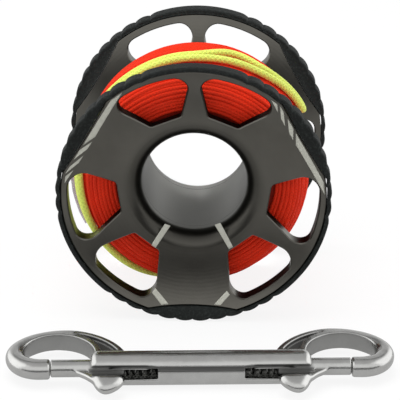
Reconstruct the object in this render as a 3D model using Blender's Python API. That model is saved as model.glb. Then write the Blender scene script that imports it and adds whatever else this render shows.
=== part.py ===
"""Finger spool for a diver's guide line, with its wound line, looped leader and double-ended snap.

The snap lies on the floor along X. The spool stands behind it on its two grip rings, with its
axis along Y and turned a little about Z. The floor is Z = 0, and the origin is under the middle
of the whole set. Everything is in metres.
"""

import math

import bmesh
import bpy
from mathutils import Vector

MM = 0.001

# Spool: two dished flanges on a hub tube, all turned from aluminium
SPOOL_RADIUS = 45.0 * MM
SPOOL_WIDTH = 65.0 * MM
BORE_RADIUS = 17.4 * MM
BORE_MOUTH_FILLET = 6.5 * MM
HUB_WALL = 2.8 * MM
HUB_FILLET = 2.4 * MM
COLLAR_STEP_DEPTH = 17.2 * MM
COLLAR_END_DEPTH = 22.0 * MM
LAP_FIT = 0.3 * MM
DISH_RADIUS = 60.0 * MM
DISH_FOOT_RADIUS = 24.0 * MM
DISH_DEPTH = 8.9 * MM
WEB_AT_HUB = 4.4 * MM
WEB_AT_RIM = 5.6 * MM
EDGE_CHAMFER = 0.35 * MM
FLANGE_SPAN_STEPS = 60
TUBE_SPAN_STEPS = 48

# Outline of a flange: a circle under the rubber, with three hollow cuts that carry the thick rubber
RIM_RUBBER = 1.7 * MM
ZONE_RUBBER = 4.9 * MM
FLANGE_RADIUS = SPOOL_RADIUS - RIM_RUBBER
CUT_MIDDLE_RADIUS = SPOOL_RADIUS - ZONE_RUBBER
CUT_HALF_ANGLE = math.radians(20.0)
CUT_HOLLOW = 0.6 * MM
ZONE_COUNT = 3
FIRST_ZONE_ANGLE = math.radians(30.0)

# Windows: one pair beside each narrow spoke
WINDOW_FOOT_RADIUS = 25.6 * MM
WINDOW_RIM = 2.2 * MM
WINDOW_TOP_RADIUS = FLANGE_RADIUS - WINDOW_RIM
NARROW_SPOKE_HALF = 4.35 * MM
NARROW_SPOKE_TAPER = math.radians(12.0)
WIDE_SPOKE_HALF = 11.4 * MM
WIDE_SPOKE_TAPER = math.radians(4.4)
WINDOW_SMALL_CORNER = 1.4 * MM
WINDOW_LARGE_CORNER = 4.4 * MM

# Rubber grip rings
RING_FIT = 0.3 * MM
RING_CORNER = 0.8 * MM
RING_LAND = 0.5 * MM
SCALLOP_PITCH = math.radians(7.5)
SCALLOPS_PER_ZONE = 11
SCALLOP_DEPTH = 0.55 * MM
SMOOTH_ARC_STEPS = 5

# Wound line: a plain core under one layer of turns
WOUND_BELOW_RIM = 6.8 * MM
WOUND_RADIUS = SPOOL_RADIUS - WOUND_BELOW_RIM
WOUND_FOOT_RADIUS = 26.2 * MM
WOUND_SQUARENESS = 3.6
WOUND_CLEARANCE = 0.35 * MM
TURN_DIAMETER = 2.2 * MM
TURN_COUNT = 17
TURN_STEPS = 24
CORE_SPAN_STEPS = 32
CORE_PROFILE_STEPS = 9

# Leader: a spliced loop of braided cord laid double over the winding
LEADER_DIAMETER = 2.4 * MM
LEADER_LIFT = 0.3 * MM
# Angle round the spool, distance from its middle plane and half the spacing of the two strands
LEADER_ROUTE = (
    (math.radians(27.0), 7.2 * MM, 1.5 * MM),
    (math.radians(44.0), 2.4 * MM, 1.5 * MM),
    (math.radians(58.0), -1.0 * MM, 2.6 * MM),
    (math.radians(72.0), -1.6 * MM, 3.7 * MM),
    (math.radians(88.0), -5.4 * MM, 1.7 * MM),
    (math.radians(105.0), -6.6 * MM, 1.5 * MM),
    (math.radians(128.0), -9.2 * MM, 1.5 * MM),
    (math.radians(150.0), -12.5 * MM, 1.5 * MM),
    (math.radians(180.0), -15.6 * MM, 1.5 * MM),
    (math.radians(202.0), -16.0 * MM, 1.5 * MM),
    (math.radians(224.0), -15.0 * MM, 1.5 * MM),
    (math.radians(240.0), -12.8 * MM, 1.5 * MM),
    (math.radians(254.0), -8.8 * MM, 1.5 * MM),
    (math.radians(266.0), -4.5 * MM, 1.5 * MM),
)
LEADER_RUN_STEPS = 28
LEADER_BEND_STEPS = 4

# End of the line: its stopper knot inside a clear shrunk sleeve
SLEEVE_DIAMETER = 3.6 * MM
SLEEVE_WALL = 0.35 * MM
SLEEVE_START = math.radians(181.0)
SLEEVE_END = math.radians(207.0)
SLEEVE_FROM_MIDDLE = -10.6 * MM
SLEEVE_STEPS = 6
SLEEVE_SIDES = 10
KNOT_DIAMETER = 2.3 * MM
KNOT_LENGTH = 4.4 * MM
KNOT_TURNS = 3
KNOT_WAIST_SHARE = 0.72
TAIL_DIAMETER = 1.4 * MM

# Snap: a cast frame with a slotted barrel, an eye at each end and two sprung bolts
SNAP_LENGTH = 123.0 * MM
SNAP_END = SNAP_LENGTH / 2
SNAP_THICKNESS = 6.0 * MM
BARREL_RADIUS = 5.4 * MM
BARREL_SHY_OF_END = 27.0 * MM
BARREL_HALF_LENGTH = SNAP_END - BARREL_SHY_OF_END
BARREL_NOSE_FILLET = 2.4 * MM
BARREL_SIDES = 20
BARREL_FLAT = 4.9 * MM
BARREL_WEB_HALF = 4.5 * MM
BOLT_RADIUS = 2.75 * MM
BOLT_FIT = 0.3 * MM
BOLT_STROKE = 12.0 * MM
GATE_GAP = 0.4 * MM
BOLT_IN_BARREL = 10.5 * MM
BOLT_INNER_END = BARREL_HALF_LENGTH - BOLT_IN_BARREL
SLOT_HALF_HEIGHT = 1.4 * MM
SLOT_SHY_OF_BOLT = 1.6 * MM
SLOT_INNER_END = BOLT_INNER_END - BOLT_STROKE + SLOT_SHY_OF_BOLT
COVE_RADIUS = 2.4 * MM
COVE_SHY_OF_SLOT = 1.6 * MM
COVE_HALF_LENGTH = SLOT_INNER_END - COVE_SHY_OF_SLOT
COVE_DEPTH = 1.0 * MM
COVE_ANGLE = math.radians(45.0)
HOOK_TOP = 21.0 * MM
CREST_FROM_END = 16.0 * MM
HOOK_CREST = SNAP_END - CREST_FROM_END
HOOK_BACK_RADIUS = 23.5 * MM
HOOK_HEEL_RADIUS = 11.0 * MM
HOOK_HEEL_ANGLE = math.radians(30.0)
NOSE_BEYOND_CREST = 1.7 * MM
NOSE_TIP = HOOK_CREST + NOSE_BEYOND_CREST
NOSE_HALF_WIDTH = 3.1 * MM
EYE_ROOT_FROM_CREST = 12.1 * MM
EYE_ROOT = HOOK_CREST - EYE_ROOT_FROM_CREST
EYE_TOP = 16.8 * MM
HOOK_BAND = 6.0 * MM
EYE_END = SNAP_END - HOOK_BAND
EYE_HEEL_RADIUS = 5.4 * MM
EYE_HEEL_ANGLE = math.radians(20.0)
GUSSET_BORDER = 2.3 * MM
POCKET_DEPTH = 1.4 * MM
HOOK_EDGE_ROUND = 2.2 * MM

# Thumb knob, cast in one with its bolt
KNOB_SHY_OF_NOSE = 14.8 * MM
KNOB_OUTER_END = NOSE_TIP - KNOB_SHY_OF_NOSE
KNOB_LENGTH = 9.4 * MM
KNOB_INNER_REACH = 6.6 * MM
KNOB_OUTER_REACH = 12.9 * MM
KNOB_THICKNESS = 4.4 * MM
KNOB_EDGE_ROUND = 1.2 * MM
NECK_THICKNESS = 2.2 * MM
NECK_SHY_OF_NOSE = 6.7 * MM
NECK_ROOT = NOSE_TIP - NECK_SHY_OF_NOSE
NECK_ROOT_LENGTH = 4.6 * MM

# Return springs in the barrel
SPRING_MEAN_RADIUS = 2.15 * MM
SPRING_WIRE = 0.6 * MM
SPRING_COILS = 8
SPRING_STEPS = 8
SPRING_FIT = 0.3 * MM

# How the set is laid out on the floor
SPOOL_BEHIND_SNAP = 72.7 * MM
SPOOL_SIDEWAYS = 0.26 * MM
SPOOL_TURN = math.radians(-3.3)

# One overrun for every cutter
CUT_OVERRUN = 2.0 * MM

# Edges sharper than these are shaded sharp, and bevelled where a piece is rounded off
SHARP_ANGLE = math.radians(35.0)
BEVEL_ANGLE = math.radians(50.0)

HALF_WIDTH = SPOOL_WIDTH / 2
HUB_RADIUS = BORE_RADIUS + HUB_WALL
LAP_RADIUS = (BORE_RADIUS + HUB_RADIUS) / 2
ZONE_STEP = 2 * math.pi / ZONE_COUNT
BORE_IN_BARREL = BOLT_RADIUS + BOLT_FIT
# The hook's arcs, each tangent to the next: back, end and heel, and the eye's root, end and heel
BACK_CENTRE = Vector((HOOK_CREST, HOOK_TOP - HOOK_BACK_RADIUS))
END_REACH = CREST_FROM_END - HOOK_HEEL_RADIUS
END_RADIUS = END_REACH / math.cos(HOOK_HEEL_ANGLE) + HOOK_HEEL_RADIUS
END_CENTRE = Vector((HOOK_CREST, HOOK_TOP - END_RADIUS))
ROOT_RADIUS = EYE_ROOT_FROM_CREST
ROOT_CENTRE = Vector((HOOK_CREST, EYE_TOP - ROOT_RADIUS))
EYE_REACH = EYE_END - HOOK_CREST - EYE_HEEL_RADIUS
EYE_RADIUS = EYE_REACH / math.cos(EYE_HEEL_ANGLE) + EYE_HEEL_RADIUS
EYE_CENTRE = Vector((HOOK_CREST, EYE_TOP - EYE_RADIUS))


# Scene and objects


def clear_scene():
    """Removes whatever the open file holds, so that the part stands alone."""
    for item in list(bpy.data.objects):
        bpy.data.objects.remove(item, do_unlink=True)
    for mesh in list(bpy.data.meshes):
        bpy.data.meshes.remove(mesh)
    for curve in list(bpy.data.curves):
        bpy.data.curves.remove(curve)


def material(name, colour, roughness, metallic=0.0, alpha=1.0):
    """A Principled material in the part's own colour."""
    mat = bpy.data.materials.new(name)
    mat.use_nodes = True
    shader = mat.node_tree.nodes["Principled BSDF"]
    shader.inputs["Base Color"].default_value = (*colour, 1.0)
    shader.inputs["Roughness"].default_value = roughness
    shader.inputs["Metallic"].default_value = metallic
    shader.inputs["Alpha"].default_value = alpha
    return mat


def empty(name, location, turn=0.0):
    """A frame that carries the pieces of one assembly."""
    frame = bpy.data.objects.new(name, None)
    frame.location = location
    frame.rotation_euler = (0.0, 0.0, turn)
    bpy.context.scene.collection.objects.link(frame)
    return frame


def mesh_object(name, bm, mat, parent, location=(0.0, 0.0, 0.0)):
    """Turns a bmesh into a named object, its faces pointing out, shaded smooth by angle."""
    bmesh.ops.recalc_face_normals(bm, faces=bm.faces)
    mesh = bpy.data.meshes.new(name)
    bm.to_mesh(mesh)
    bm.free()
    mesh.shade_smooth()
    mesh.set_sharp_from_angle(angle=SHARP_ANGLE)
    if mat:
        mesh.materials.append(mat)
    item = bpy.data.objects.new(name, mesh)
    item.location = location
    item.parent = parent
    bpy.context.scene.collection.objects.link(item)
    return item


def cutter(name, bm, parent, location=(0.0, 0.0, 0.0)):
    """A mesh that only cuts: it is shown as wire and never rendered."""
    item = mesh_object(name, bm, None, parent, location)
    item.hide_render = True
    item.display_type = "WIRE"
    return item


def boolean(target, other, operation="DIFFERENCE"):
    """Adds one exact Boolean of a cutter to the target."""
    step = target.modifiers.new(other.name, "BOOLEAN")
    step.operation = operation
    step.solver = "EXACT"
    step.object = other


# Geometry helpers


def loft(bm, rings, wrap=False):
    """Joins rings of points with quads. The ends are capped, or joined when wrap is set."""
    rows = [[bm.verts.new(point) for point in ring] for ring in rings]
    count = len(rows[0])
    last = len(rows) if wrap else len(rows) - 1
    for index in range(last):
        one = rows[index]
        two = rows[(index + 1) % len(rows)]
        for side in range(count):
            after = (side + 1) % count
            bm.faces.new((one[side], one[after], two[after], two[side]))
    if not wrap:
        bm.faces.new(rows[0])
        bm.faces.new(rows[-1])


def prism(bm, outline, place, low, high):
    """A straight prism over an outline. place(point, height) gives a point in space."""
    loft(bm, [[place(point, low) for point in outline], [place(point, high) for point in outline]])


def arc_centre(near, far, radius):
    """Centre of the arc of that radius through two (radius, depth) points, on the low-depth side."""
    near = Vector(near)
    far = Vector(far)
    chord = far - near
    offset = math.sqrt(radius**2 - (chord.length / 2) ** 2)
    normal = Vector((chord.y, -chord.x)).normalized()
    if normal.y > 0:
        normal = -normal
    return (near + far) / 2 + normal * offset


def arc_points(centre, start, end, steps):
    """Points on the shorter arc from start to end round a centre, both ends included."""
    centre = Vector(centre)
    first = Vector(start) - centre
    last = Vector(end) - centre
    begin = math.atan2(first.y, first.x)
    sweep = math.atan2(last.y, last.x) - begin
    sweep = (sweep + math.pi) % (2 * math.pi) - math.pi
    points = []
    for step in range(steps + 1):
        angle = begin + sweep * step / steps
        points.append(centre + first.length * Vector((math.cos(angle), math.sin(angle))))
    return points


def rounded_corner(corner, before, after, radius, steps):
    """Points of the fillet between two straight edges that meet at a corner."""
    corner = Vector(corner)
    to_before = (Vector(before) - corner).normalized()
    to_after = (Vector(after) - corner).normalized()
    half = to_before.angle(to_after) / 2
    run = radius / math.tan(half)
    middle = (to_before + to_after).normalized()
    centre = corner + middle * (radius / math.sin(half))
    return arc_points(centre, corner + to_before * run, corner + to_after * run, steps)


def rounded_polygon(corners, radii, steps):
    """An outline with every corner filleted to its own radius. A zero radius keeps it sharp."""
    outline = []
    count = len(corners)
    for index, corner in enumerate(corners):
        if radii[index] > 0:
            before = corners[index - 1]
            after = corners[(index + 1) % count]
            outline += rounded_corner(corner, before, after, radii[index], steps)
        else:
            outline.append(Vector(corner))
    return outline


def smooth_row(knots, count):
    """A row of points at even parameter steps on a Catmull-Rom curve through the knots."""
    padded = [2 * knots[0] - knots[1]] + list(knots) + [2 * knots[-1] - knots[-2]]
    spans = len(knots) - 1
    row = []
    for index in range(count):
        place = index * spans / (count - 1)
        span = min(int(place), spans - 1)
        t = place - span
        a, b, c, d = padded[span : span + 4]
        curve = 2 * b + (c - a) * t + (2 * a - 5 * b + 4 * c - d) * t**2
        row.append((curve + (3 * b - a - 3 * c + d) * t**3) / 2)
    return row


def tube_curve(name, points, diameter, resolution, mat, parent, closed=False):
    """A round cord or wire along points: a bevelled curve with filled ends."""
    curve = bpy.data.curves.new(name, "CURVE")
    curve.dimensions = "3D"
    curve.bevel_depth = diameter / 2
    curve.bevel_resolution = resolution
    curve.use_fill_caps = True
    spline = curve.splines.new("POLY")
    spline.points.add(len(points) - 1)
    for target, point in zip(spline.points, points):
        target.co = (*point, 1.0)
    spline.use_cyclic_u = closed
    spline.use_smooth = True
    curve.materials.append(mat)
    item = bpy.data.objects.new(name, curve)
    item.parent = parent
    bpy.context.scene.collection.objects.link(item)
    return item


def least_gap(points, diameter, apart, closed=False):
    """Least clearance of a tube to itself, between points at least that many steps apart."""
    least = float("inf")
    count = len(points)
    for index, point in enumerate(points):
        stop = min(count, index + count - apart + 1) if closed else count
        for other in points[index + apart : stop]:
            least = min(least, (other - point).length)
    return least - diameter


# Shape of the spool


def dish_faces():
    """Arc centres of a flange's outer face and of its line side, as (radius, depth)."""
    outer = arc_centre((DISH_FOOT_RADIUS, DISH_DEPTH), (SPOOL_RADIUS, 0.0), DISH_RADIUS)
    foot = (DISH_FOOT_RADIUS, DISH_DEPTH + WEB_AT_HUB)
    inner = arc_centre(foot, (SPOOL_RADIUS, WEB_AT_RIM), DISH_RADIUS)
    return outer, inner


OUTER_FACE, INNER_FACE = dish_faces()


def face_depth(face, radius):
    """Depth of a dished face behind the rim plane at one radius."""
    return face.y + math.sqrt(DISH_RADIUS**2 - (radius - face.x) ** 2)


def from_zone(angle):
    """Angle to the middle of the nearest thick rubber zone."""
    turned = (angle - FIRST_ZONE_ANGLE) % ZONE_STEP
    return min(turned, ZONE_STEP - turned)


def flange_edge(angle):
    """Radius of the aluminium's outline: a circle, cut by a large hollow arc in each zone."""
    off = from_zone(angle)
    chord = FLANGE_RADIUS * math.sin(CUT_HALF_ANGLE)
    arc_radius = (chord**2 + CUT_HOLLOW**2) / (2 * CUT_HOLLOW)
    centre = CUT_MIDDLE_RADIUS + arc_radius
    along = centre * math.cos(off)
    inside = along**2 - centre**2 + arc_radius**2
    if inside < 0:
        return FLANGE_RADIUS
    return min(FLANGE_RADIUS, along - math.sqrt(inside))


def ring_edge(angle):
    """Radius of the rubber: smooth beside the narrow spokes and scalloped in the zones."""
    off = from_zone(angle)
    if off > SCALLOP_PITCH * SCALLOPS_PER_ZONE / 2:
        return SPOOL_RADIUS
    wave = (1 + math.cos(2 * math.pi * off / SCALLOP_PITCH)) / 2
    return SPOOL_RADIUS - SCALLOP_DEPTH * wave


def mouth_fillet():
    """The bell mouth of the bore, from the bore to the dish, as (radius, depth) points."""
    across = BORE_RADIUS + BORE_MOUTH_FILLET
    reach = DISH_RADIUS + BORE_MOUTH_FILLET
    depth = OUTER_FACE.y + math.sqrt(reach**2 - (across - OUTER_FACE.x) ** 2)
    centre = Vector((across, depth))
    touch = centre + (OUTER_FACE - centre).normalized() * BORE_MOUTH_FILLET
    return arc_points(centre, (BORE_RADIUS, depth), touch, 4)


def hub_fillet():
    """The fillet between a flange's line side and the hub, as (radius, depth) points."""
    across = HUB_RADIUS + HUB_FILLET
    reach = DISH_RADIUS + HUB_FILLET
    depth = INNER_FACE.y + math.sqrt(reach**2 - (across - INNER_FACE.x) ** 2)
    centre = Vector((across, depth))
    touch = centre + (INNER_FACE - centre).normalized() * HUB_FILLET
    return arc_points(centre, touch, (HUB_RADIUS, depth), 2)


def flange_profile(edge):
    """The turned profile of one flange and its collar, out to one edge radius."""
    mouth = mouth_fillet()
    root = hub_fillet()
    profile = list(mouth)
    start = mouth[-1].x
    stop = edge - EDGE_CHAMFER
    for step in range(1, 4):
        radius = start + (stop - start) * step / 3
        profile.append(Vector((radius, face_depth(OUTER_FACE, radius))))
    profile.append(Vector((edge, face_depth(OUTER_FACE, edge) + EDGE_CHAMFER)))
    profile.append(Vector((edge, face_depth(INNER_FACE, edge))))
    middle = (edge + root[0].x) / 2
    profile.append(Vector((middle, face_depth(INNER_FACE, middle))))
    profile += root
    profile.append(Vector((HUB_RADIUS, COLLAR_END_DEPTH)))
    profile.append(Vector((LAP_RADIUS, COLLAR_END_DEPTH)))
    profile.append(Vector((LAP_RADIUS, COLLAR_STEP_DEPTH)))
    profile.append(Vector((BORE_RADIUS, COLLAR_STEP_DEPTH)))
    return profile


def round_axis(angle, radius, along):
    """A point on the spool, along measured from its middle plane."""
    return Vector((radius * math.cos(angle), along, radius * math.sin(angle)))


def section(profile, angle, hand):
    """A (radius, depth) profile set at one angle: hand is -1 at the front and 1 at the rear."""
    return [round_axis(angle, radius, hand * (HALF_WIDTH - depth)) for radius, depth in profile]


def window_outline():
    """One window beside a narrow spoke: x across the spoke, y out along it."""
    wide_angle = ZONE_STEP / 2
    out = Vector((math.sin(wide_angle), math.cos(wide_angle)))
    side = Vector((-out.y, out.x))
    narrow_foot = Vector((NARROW_SPOKE_HALF, math.sqrt(WINDOW_FOOT_RADIUS**2 - NARROW_SPOKE_HALF**2)))
    wide_run = math.sqrt(WINDOW_FOOT_RADIUS**2 - WIDE_SPOKE_HALF**2)
    wide_foot = out * wide_run + side * WIDE_SPOKE_HALF
    narrow_way = Vector((-math.sin(NARROW_SPOKE_TAPER), math.cos(NARROW_SPOKE_TAPER)))
    narrow_in = Vector((narrow_way.y, -narrow_way.x))
    wide_way = out * math.cos(WIDE_SPOKE_TAPER) + side * math.sin(WIDE_SPOKE_TAPER)
    wide_in = Vector((-wide_way.y, wide_way.x))
    wide_corner = top_corner(wide_foot, wide_way, wide_in)
    narrow_corner = top_corner(narrow_foot, narrow_way, narrow_in)
    outline = rounded_corner(narrow_foot, narrow_corner[0], wide_foot, WINDOW_SMALL_CORNER, 2)
    outline += rounded_corner(wide_foot, narrow_foot, wide_corner[0], WINDOW_SMALL_CORNER, 2)
    outline += wide_corner
    outline += arc_points((0.0, 0.0), wide_corner[-1], narrow_corner[-1], 4)[1:-1]
    return outline + list(reversed(narrow_corner))


def top_corner(foot, way, inward):
    """The large fillet between one straight side and the window's top arc."""
    start = foot + inward * WINDOW_LARGE_CORNER
    reach = WINDOW_TOP_RADIUS - WINDOW_LARGE_CORNER
    along = start.dot(way)
    run = -along + math.sqrt(along**2 - start.length_squared + reach**2)
    centre = start + way * run
    return arc_points(centre, foot + way * run, centre * (WINDOW_TOP_RADIUS / reach), 4)


def window_cutters(name, parent, hand):
    """Six prisms through one flange: a mirrored pair beside each narrow spoke."""
    bm = bmesh.new()
    outline = window_outline()
    outside = hand * (HALF_WIDTH + CUT_OVERRUN)
    inside = hand * (HALF_WIDTH - COLLAR_END_DEPTH)
    for zone in range(ZONE_COUNT):
        spoke = FIRST_ZONE_ANGLE + ZONE_STEP * (zone + 1 / 2)
        for side in (-1, 1):

            def place(point, height, spoke=spoke, side=side):
                angle = spoke + side * math.atan2(point.x, point.y)
                return round_axis(angle, point.length, height)

            prism(bm, outline, place, outside, inside)
    return cutter(name, bm, parent)


def make_flange(name, parent, mat, hand):
    """A dished flange, lofted round its axis to the three-sided outline, then windowed."""
    bm = bmesh.new()
    rings = []
    for step in range(FLANGE_SPAN_STEPS):
        angle = FIRST_ZONE_ANGLE + 2 * math.pi * step / FLANGE_SPAN_STEPS
        rings.append(section(flange_profile(flange_edge(angle)), angle, hand))
    loft(bm, rings, wrap=True)
    flange = mesh_object(name, bm, mat, parent)
    boolean(flange, window_cutters(name + "_windows", parent, hand))
    return flange


def make_hub_tube(parent, mat):
    """The tube between the flanges: each end is turned down to lie inside a collar."""
    spigot = LAP_RADIUS - LAP_FIT
    shoulder = COLLAR_END_DEPTH + LAP_FIT
    end = COLLAR_STEP_DEPTH + LAP_FIT
    half = ((BORE_RADIUS, end), (spigot, end), (spigot, shoulder), (HUB_RADIUS, shoulder))
    bm = bmesh.new()
    rings = []
    for step in range(TUBE_SPAN_STEPS):
        angle = 2 * math.pi * step / TUBE_SPAN_STEPS
        rings.append(section(half, angle, -1) + section(half[::-1], angle, 1))
    loft(bm, rings, wrap=True)
    return mesh_object("hub_tube", bm, mat, parent)


def ring_angles():
    """Angles of the rubber's sections: two for each scallop and wider steps between zones."""
    half_zone = SCALLOP_PITCH * SCALLOPS_PER_ZONE / 2
    smooth = ZONE_STEP - 2 * half_zone
    angles = []
    for zone in range(ZONE_COUNT):
        start = FIRST_ZONE_ANGLE + ZONE_STEP * zone - half_zone
        angles += [start + SCALLOP_PITCH * step / 2 for step in range(2 * SCALLOPS_PER_ZONE)]
        start += 2 * half_zone
        angles += [start + smooth * step / SMOOTH_ARC_STEPS for step in range(SMOOTH_ARC_STEPS)]
    return angles


def make_grip_ring(name, parent, mat, hand):
    """One rubber ring, seated round a flange. hand is -1 at the front and 1 at the rear."""
    bm = bmesh.new()
    rings = []
    rest = face_depth(OUTER_FACE, SPOOL_RADIUS - RING_CORNER)
    back = face_depth(INNER_FACE, SPOOL_RADIUS - RING_CORNER)
    for angle in ring_angles():
        inner = flange_edge(angle) + RING_FIT
        outer = ring_edge(angle)
        shoulder = outer - RING_CORNER
        profile = (
            (inner, face_depth(OUTER_FACE, inner)),
            (shoulder - RING_LAND, rest),
            (shoulder, rest),
            (outer, rest + RING_CORNER),
            (outer, back - RING_CORNER),
            (shoulder, back),
            (inner, face_depth(INNER_FACE, inner)),
        )
        rings.append(section(profile, angle, hand))
    loft(bm, rings, wrap=True)
    return mesh_object(name, bm, mat, parent)


# Wound line


def wound_point(turn, inset):
    """A (radius, along) point on the winding's rounded profile, inset below its surface.

    turn runs from 0 at the front foot, over the crest, to 1 at the rear foot."""
    sweep = math.pi * turn
    power = 2 / WOUND_SQUARENESS
    rise = max(math.sin(sweep), 0.0) ** power
    lean = abs(math.cos(sweep)) ** power
    radius = WOUND_FOOT_RADIUS + (WOUND_RADIUS - inset - WOUND_FOOT_RADIUS) * rise
    room = HALF_WIDTH - face_depth(INNER_FACE, radius) - WOUND_CLEARANCE - inset
    side = -1 if turn < 1 / 2 else 1
    return Vector((radius, side * room * lean))


def even_profile(inset, count):
    """Profile points at even distances along the winding's profile, foot to foot."""
    fine = [wound_point(step / (count * TURN_STEPS), inset) for step in range(count * TURN_STEPS + 1)]
    travelled = [0.0]
    for one, two in zip(fine, fine[1:]):
        travelled.append(travelled[-1] + (two - one).length)
    points = []
    index = 0
    for step in range(count + 1):
        goal = travelled[-1] * step / count
        while index < len(fine) - 2 and travelled[index + 1] < goal:
            index += 1
        span = travelled[index + 1] - travelled[index]
        share = (goal - travelled[index]) / span
        points.append(fine[index].lerp(fine[index + 1], share))
    return points


def make_line_core(parent, mat):
    """The wound bulk under the outer layer, seated on the hub between the flanges."""
    inset = TURN_DIAMETER + 2 * WOUND_CLEARANCE
    profile = even_profile(inset, CORE_PROFILE_STEPS)
    seat = HUB_RADIUS + WOUND_CLEARANCE
    root = hub_fillet()
    corner = Vector((seat, root[-1].y - HALF_WIDTH))
    knee_radius = root[0].x + WOUND_CLEARANCE
    knee = Vector((knee_radius, face_depth(INNER_FACE, knee_radius) + WOUND_CLEARANCE - HALF_WIDTH))
    front = [corner, knee]
    rear = [Vector((point.x, -point.y)) for point in reversed(front)]
    outline = front + profile + rear
    bm = bmesh.new()
    rings = []
    for step in range(CORE_SPAN_STEPS):
        angle = 2 * math.pi * step / CORE_SPAN_STEPS
        rings.append([round_axis(angle, point.x, point.y) for point in outline])
    loft(bm, rings, wrap=True)
    return mesh_object("line_core", bm, mat, parent)


def make_line_turns(parent, mat):
    """The outer layer: one unbroken tube that winds from the front foot to the rear foot."""
    steps = TURN_COUNT * TURN_STEPS
    profile = even_profile(TURN_DIAMETER / 2, steps)
    points = []
    for step, place in enumerate(profile):
        points.append(round_axis(2 * math.pi * step / TURN_STEPS, place.x, place.y))
    first = (points[0] - points[1]).normalized()
    last = (points[-1] - points[-2]).normalized()
    points = [points[0] + first * TURN_DIAMETER] + points + [points[-1] + last * TURN_DIAMETER]
    print("least gap between turns, mm:", round(least_gap(points, TURN_DIAMETER, TURN_STEPS // 2) / MM, 2))
    return tube_curve("line_turns", points, TURN_DIAMETER, 1, mat, parent)


# Leader and line end


def surface_radius(along):
    """Radius of the winding's surface at a distance from its middle plane."""
    low = 0.0
    high = 0.5
    for _ in range(40):
        middle = (low + high) / 2
        if -wound_point(middle, 0.0).y > abs(along):
            low = middle
        else:
            high = middle
    return wound_point((low + high) / 2, 0.0).x


def on_winding(angle, along, lift):
    """A point that floats a given height off the wound line."""
    return round_axis(angle, surface_radius(along) + lift, along)


def make_leader(parent, mat):
    """A closed loop of cord laid as two strands side by side, with a hairpin at each end."""
    lift = LEADER_LIFT + LEADER_DIAMETER / 2
    route = smooth_row([Vector(knot) for knot in LEADER_ROUTE], LEADER_RUN_STEPS)
    sides = ([], [])
    for index, here in enumerate(route):
        before = route[max(index - 1, 0)]
        after = route[min(index + 1, len(route) - 1)]
        heading = Vector(((after.x - before.x) * WOUND_RADIUS, after.y - before.y)).normalized()
        for side, hand in zip(sides, (-1, 1)):
            angle = here.x - hand * heading.y * here.z / WOUND_RADIUS
            side.append(on_winding(angle, here.y + hand * heading.x * here.z, lift))
    front, rear = sides
    loop = front + hairpin(front, rear) + rear[::-1] + hairpin(rear[::-1], front[::-1])
    gap = least_gap(loop, LEADER_DIAMETER, LEADER_BEND_STEPS, closed=True)
    print("least gap in the leader, mm:", round(gap / MM, 2))
    return tube_curve("leader", loop, LEADER_DIAMETER, 2, mat, parent, closed=True)


def hairpin(arriving, leaving):
    """The bend that turns the end of one strand into the end of the other."""
    start = arriving[-1]
    end = leaving[-1]
    middle = (start + end) / 2
    radius = (start - middle).length
    ahead = (arriving[-1] - arriving[-2]).normalized()
    side = (start - middle).normalized()
    bend = []
    for step in range(1, LEADER_BEND_STEPS + 1):
        angle = math.pi * step / (LEADER_BEND_STEPS + 1)
        bend.append(middle + radius * (side * math.cos(angle) + ahead * math.sin(angle)))
    return bend


def arc_ring(angle, along, centre_radius, radius, sides):
    """A ring of points round a cord that follows the winding at one angle."""
    out = round_axis(angle, 1.0, 0.0)
    axis = Vector((0.0, 1.0, 0.0))
    centre = round_axis(angle, centre_radius, along)
    ring = []
    for side in range(sides):
        turn = 2 * math.pi * side / sides
        ring.append(centre + radius * (out * math.cos(turn) + axis * math.sin(turn)))
    return ring


def sleeve_centre_radius():
    """Radius at which the sleeve's own centre line runs, resting just off the line."""
    return surface_radius(SLEEVE_FROM_MIDDLE) + LEADER_LIFT + SLEEVE_DIAMETER / 2


def make_sleeve(parent, mat):
    """The clear sleeve: an open tube that follows the winding."""
    bm = bmesh.new()
    centre = sleeve_centre_radius()
    outer = []
    inner = []
    for step in range(SLEEVE_STEPS + 1):
        angle = SLEEVE_START + (SLEEVE_END - SLEEVE_START) * step / SLEEVE_STEPS
        outer.append(arc_ring(angle, SLEEVE_FROM_MIDDLE, centre, SLEEVE_DIAMETER / 2, SLEEVE_SIDES))
        bore = SLEEVE_DIAMETER / 2 - SLEEVE_WALL
        inner.append(arc_ring(angle, SLEEVE_FROM_MIDDLE, centre, bore, SLEEVE_SIDES))
    loft(bm, outer + inner[::-1], wrap=True)
    return mesh_object("line_sleeve", bm, mat, parent)


def make_line_end(parent, mat):
    """The end of the line: a straight tail in the sleeve and a wrapped stopper knot on it."""
    bm = bmesh.new()
    centre = sleeve_centre_radius()
    knot_sweep = KNOT_LENGTH / centre
    knot_end = SLEEVE_END - knot_sweep
    knot_start = knot_end - knot_sweep
    rings = []
    for step in range(3):
        angle = SLEEVE_START + (knot_start - SLEEVE_START) * step / 3
        rings.append(arc_ring(angle, SLEEVE_FROM_MIDDLE, centre, TAIL_DIAMETER / 2, SLEEVE_SIDES))
    waist = KNOT_DIAMETER * KNOT_WAIST_SHARE / 2
    for step in range(2 * KNOT_TURNS + 1):
        angle = knot_start + knot_sweep * step / (2 * KNOT_TURNS)
        radius = KNOT_DIAMETER / 2 if step % 2 else waist
        rings.append(arc_ring(angle, SLEEVE_FROM_MIDDLE, centre, radius, SLEEVE_SIDES))
    loft(bm, rings)
    return mesh_object("line_end_knot", bm, mat, parent)


# Snap


def in_plan(point, height):
    """A point of a flat outline that lies in the snap's own plane."""
    return Vector((point.x, point.y, height))


def flat_piece(bm, outline, thickness):
    """A plate of even thickness on the snap's middle plane."""
    prism(bm, outline, in_plan, -thickness / 2, thickness / 2)


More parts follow.
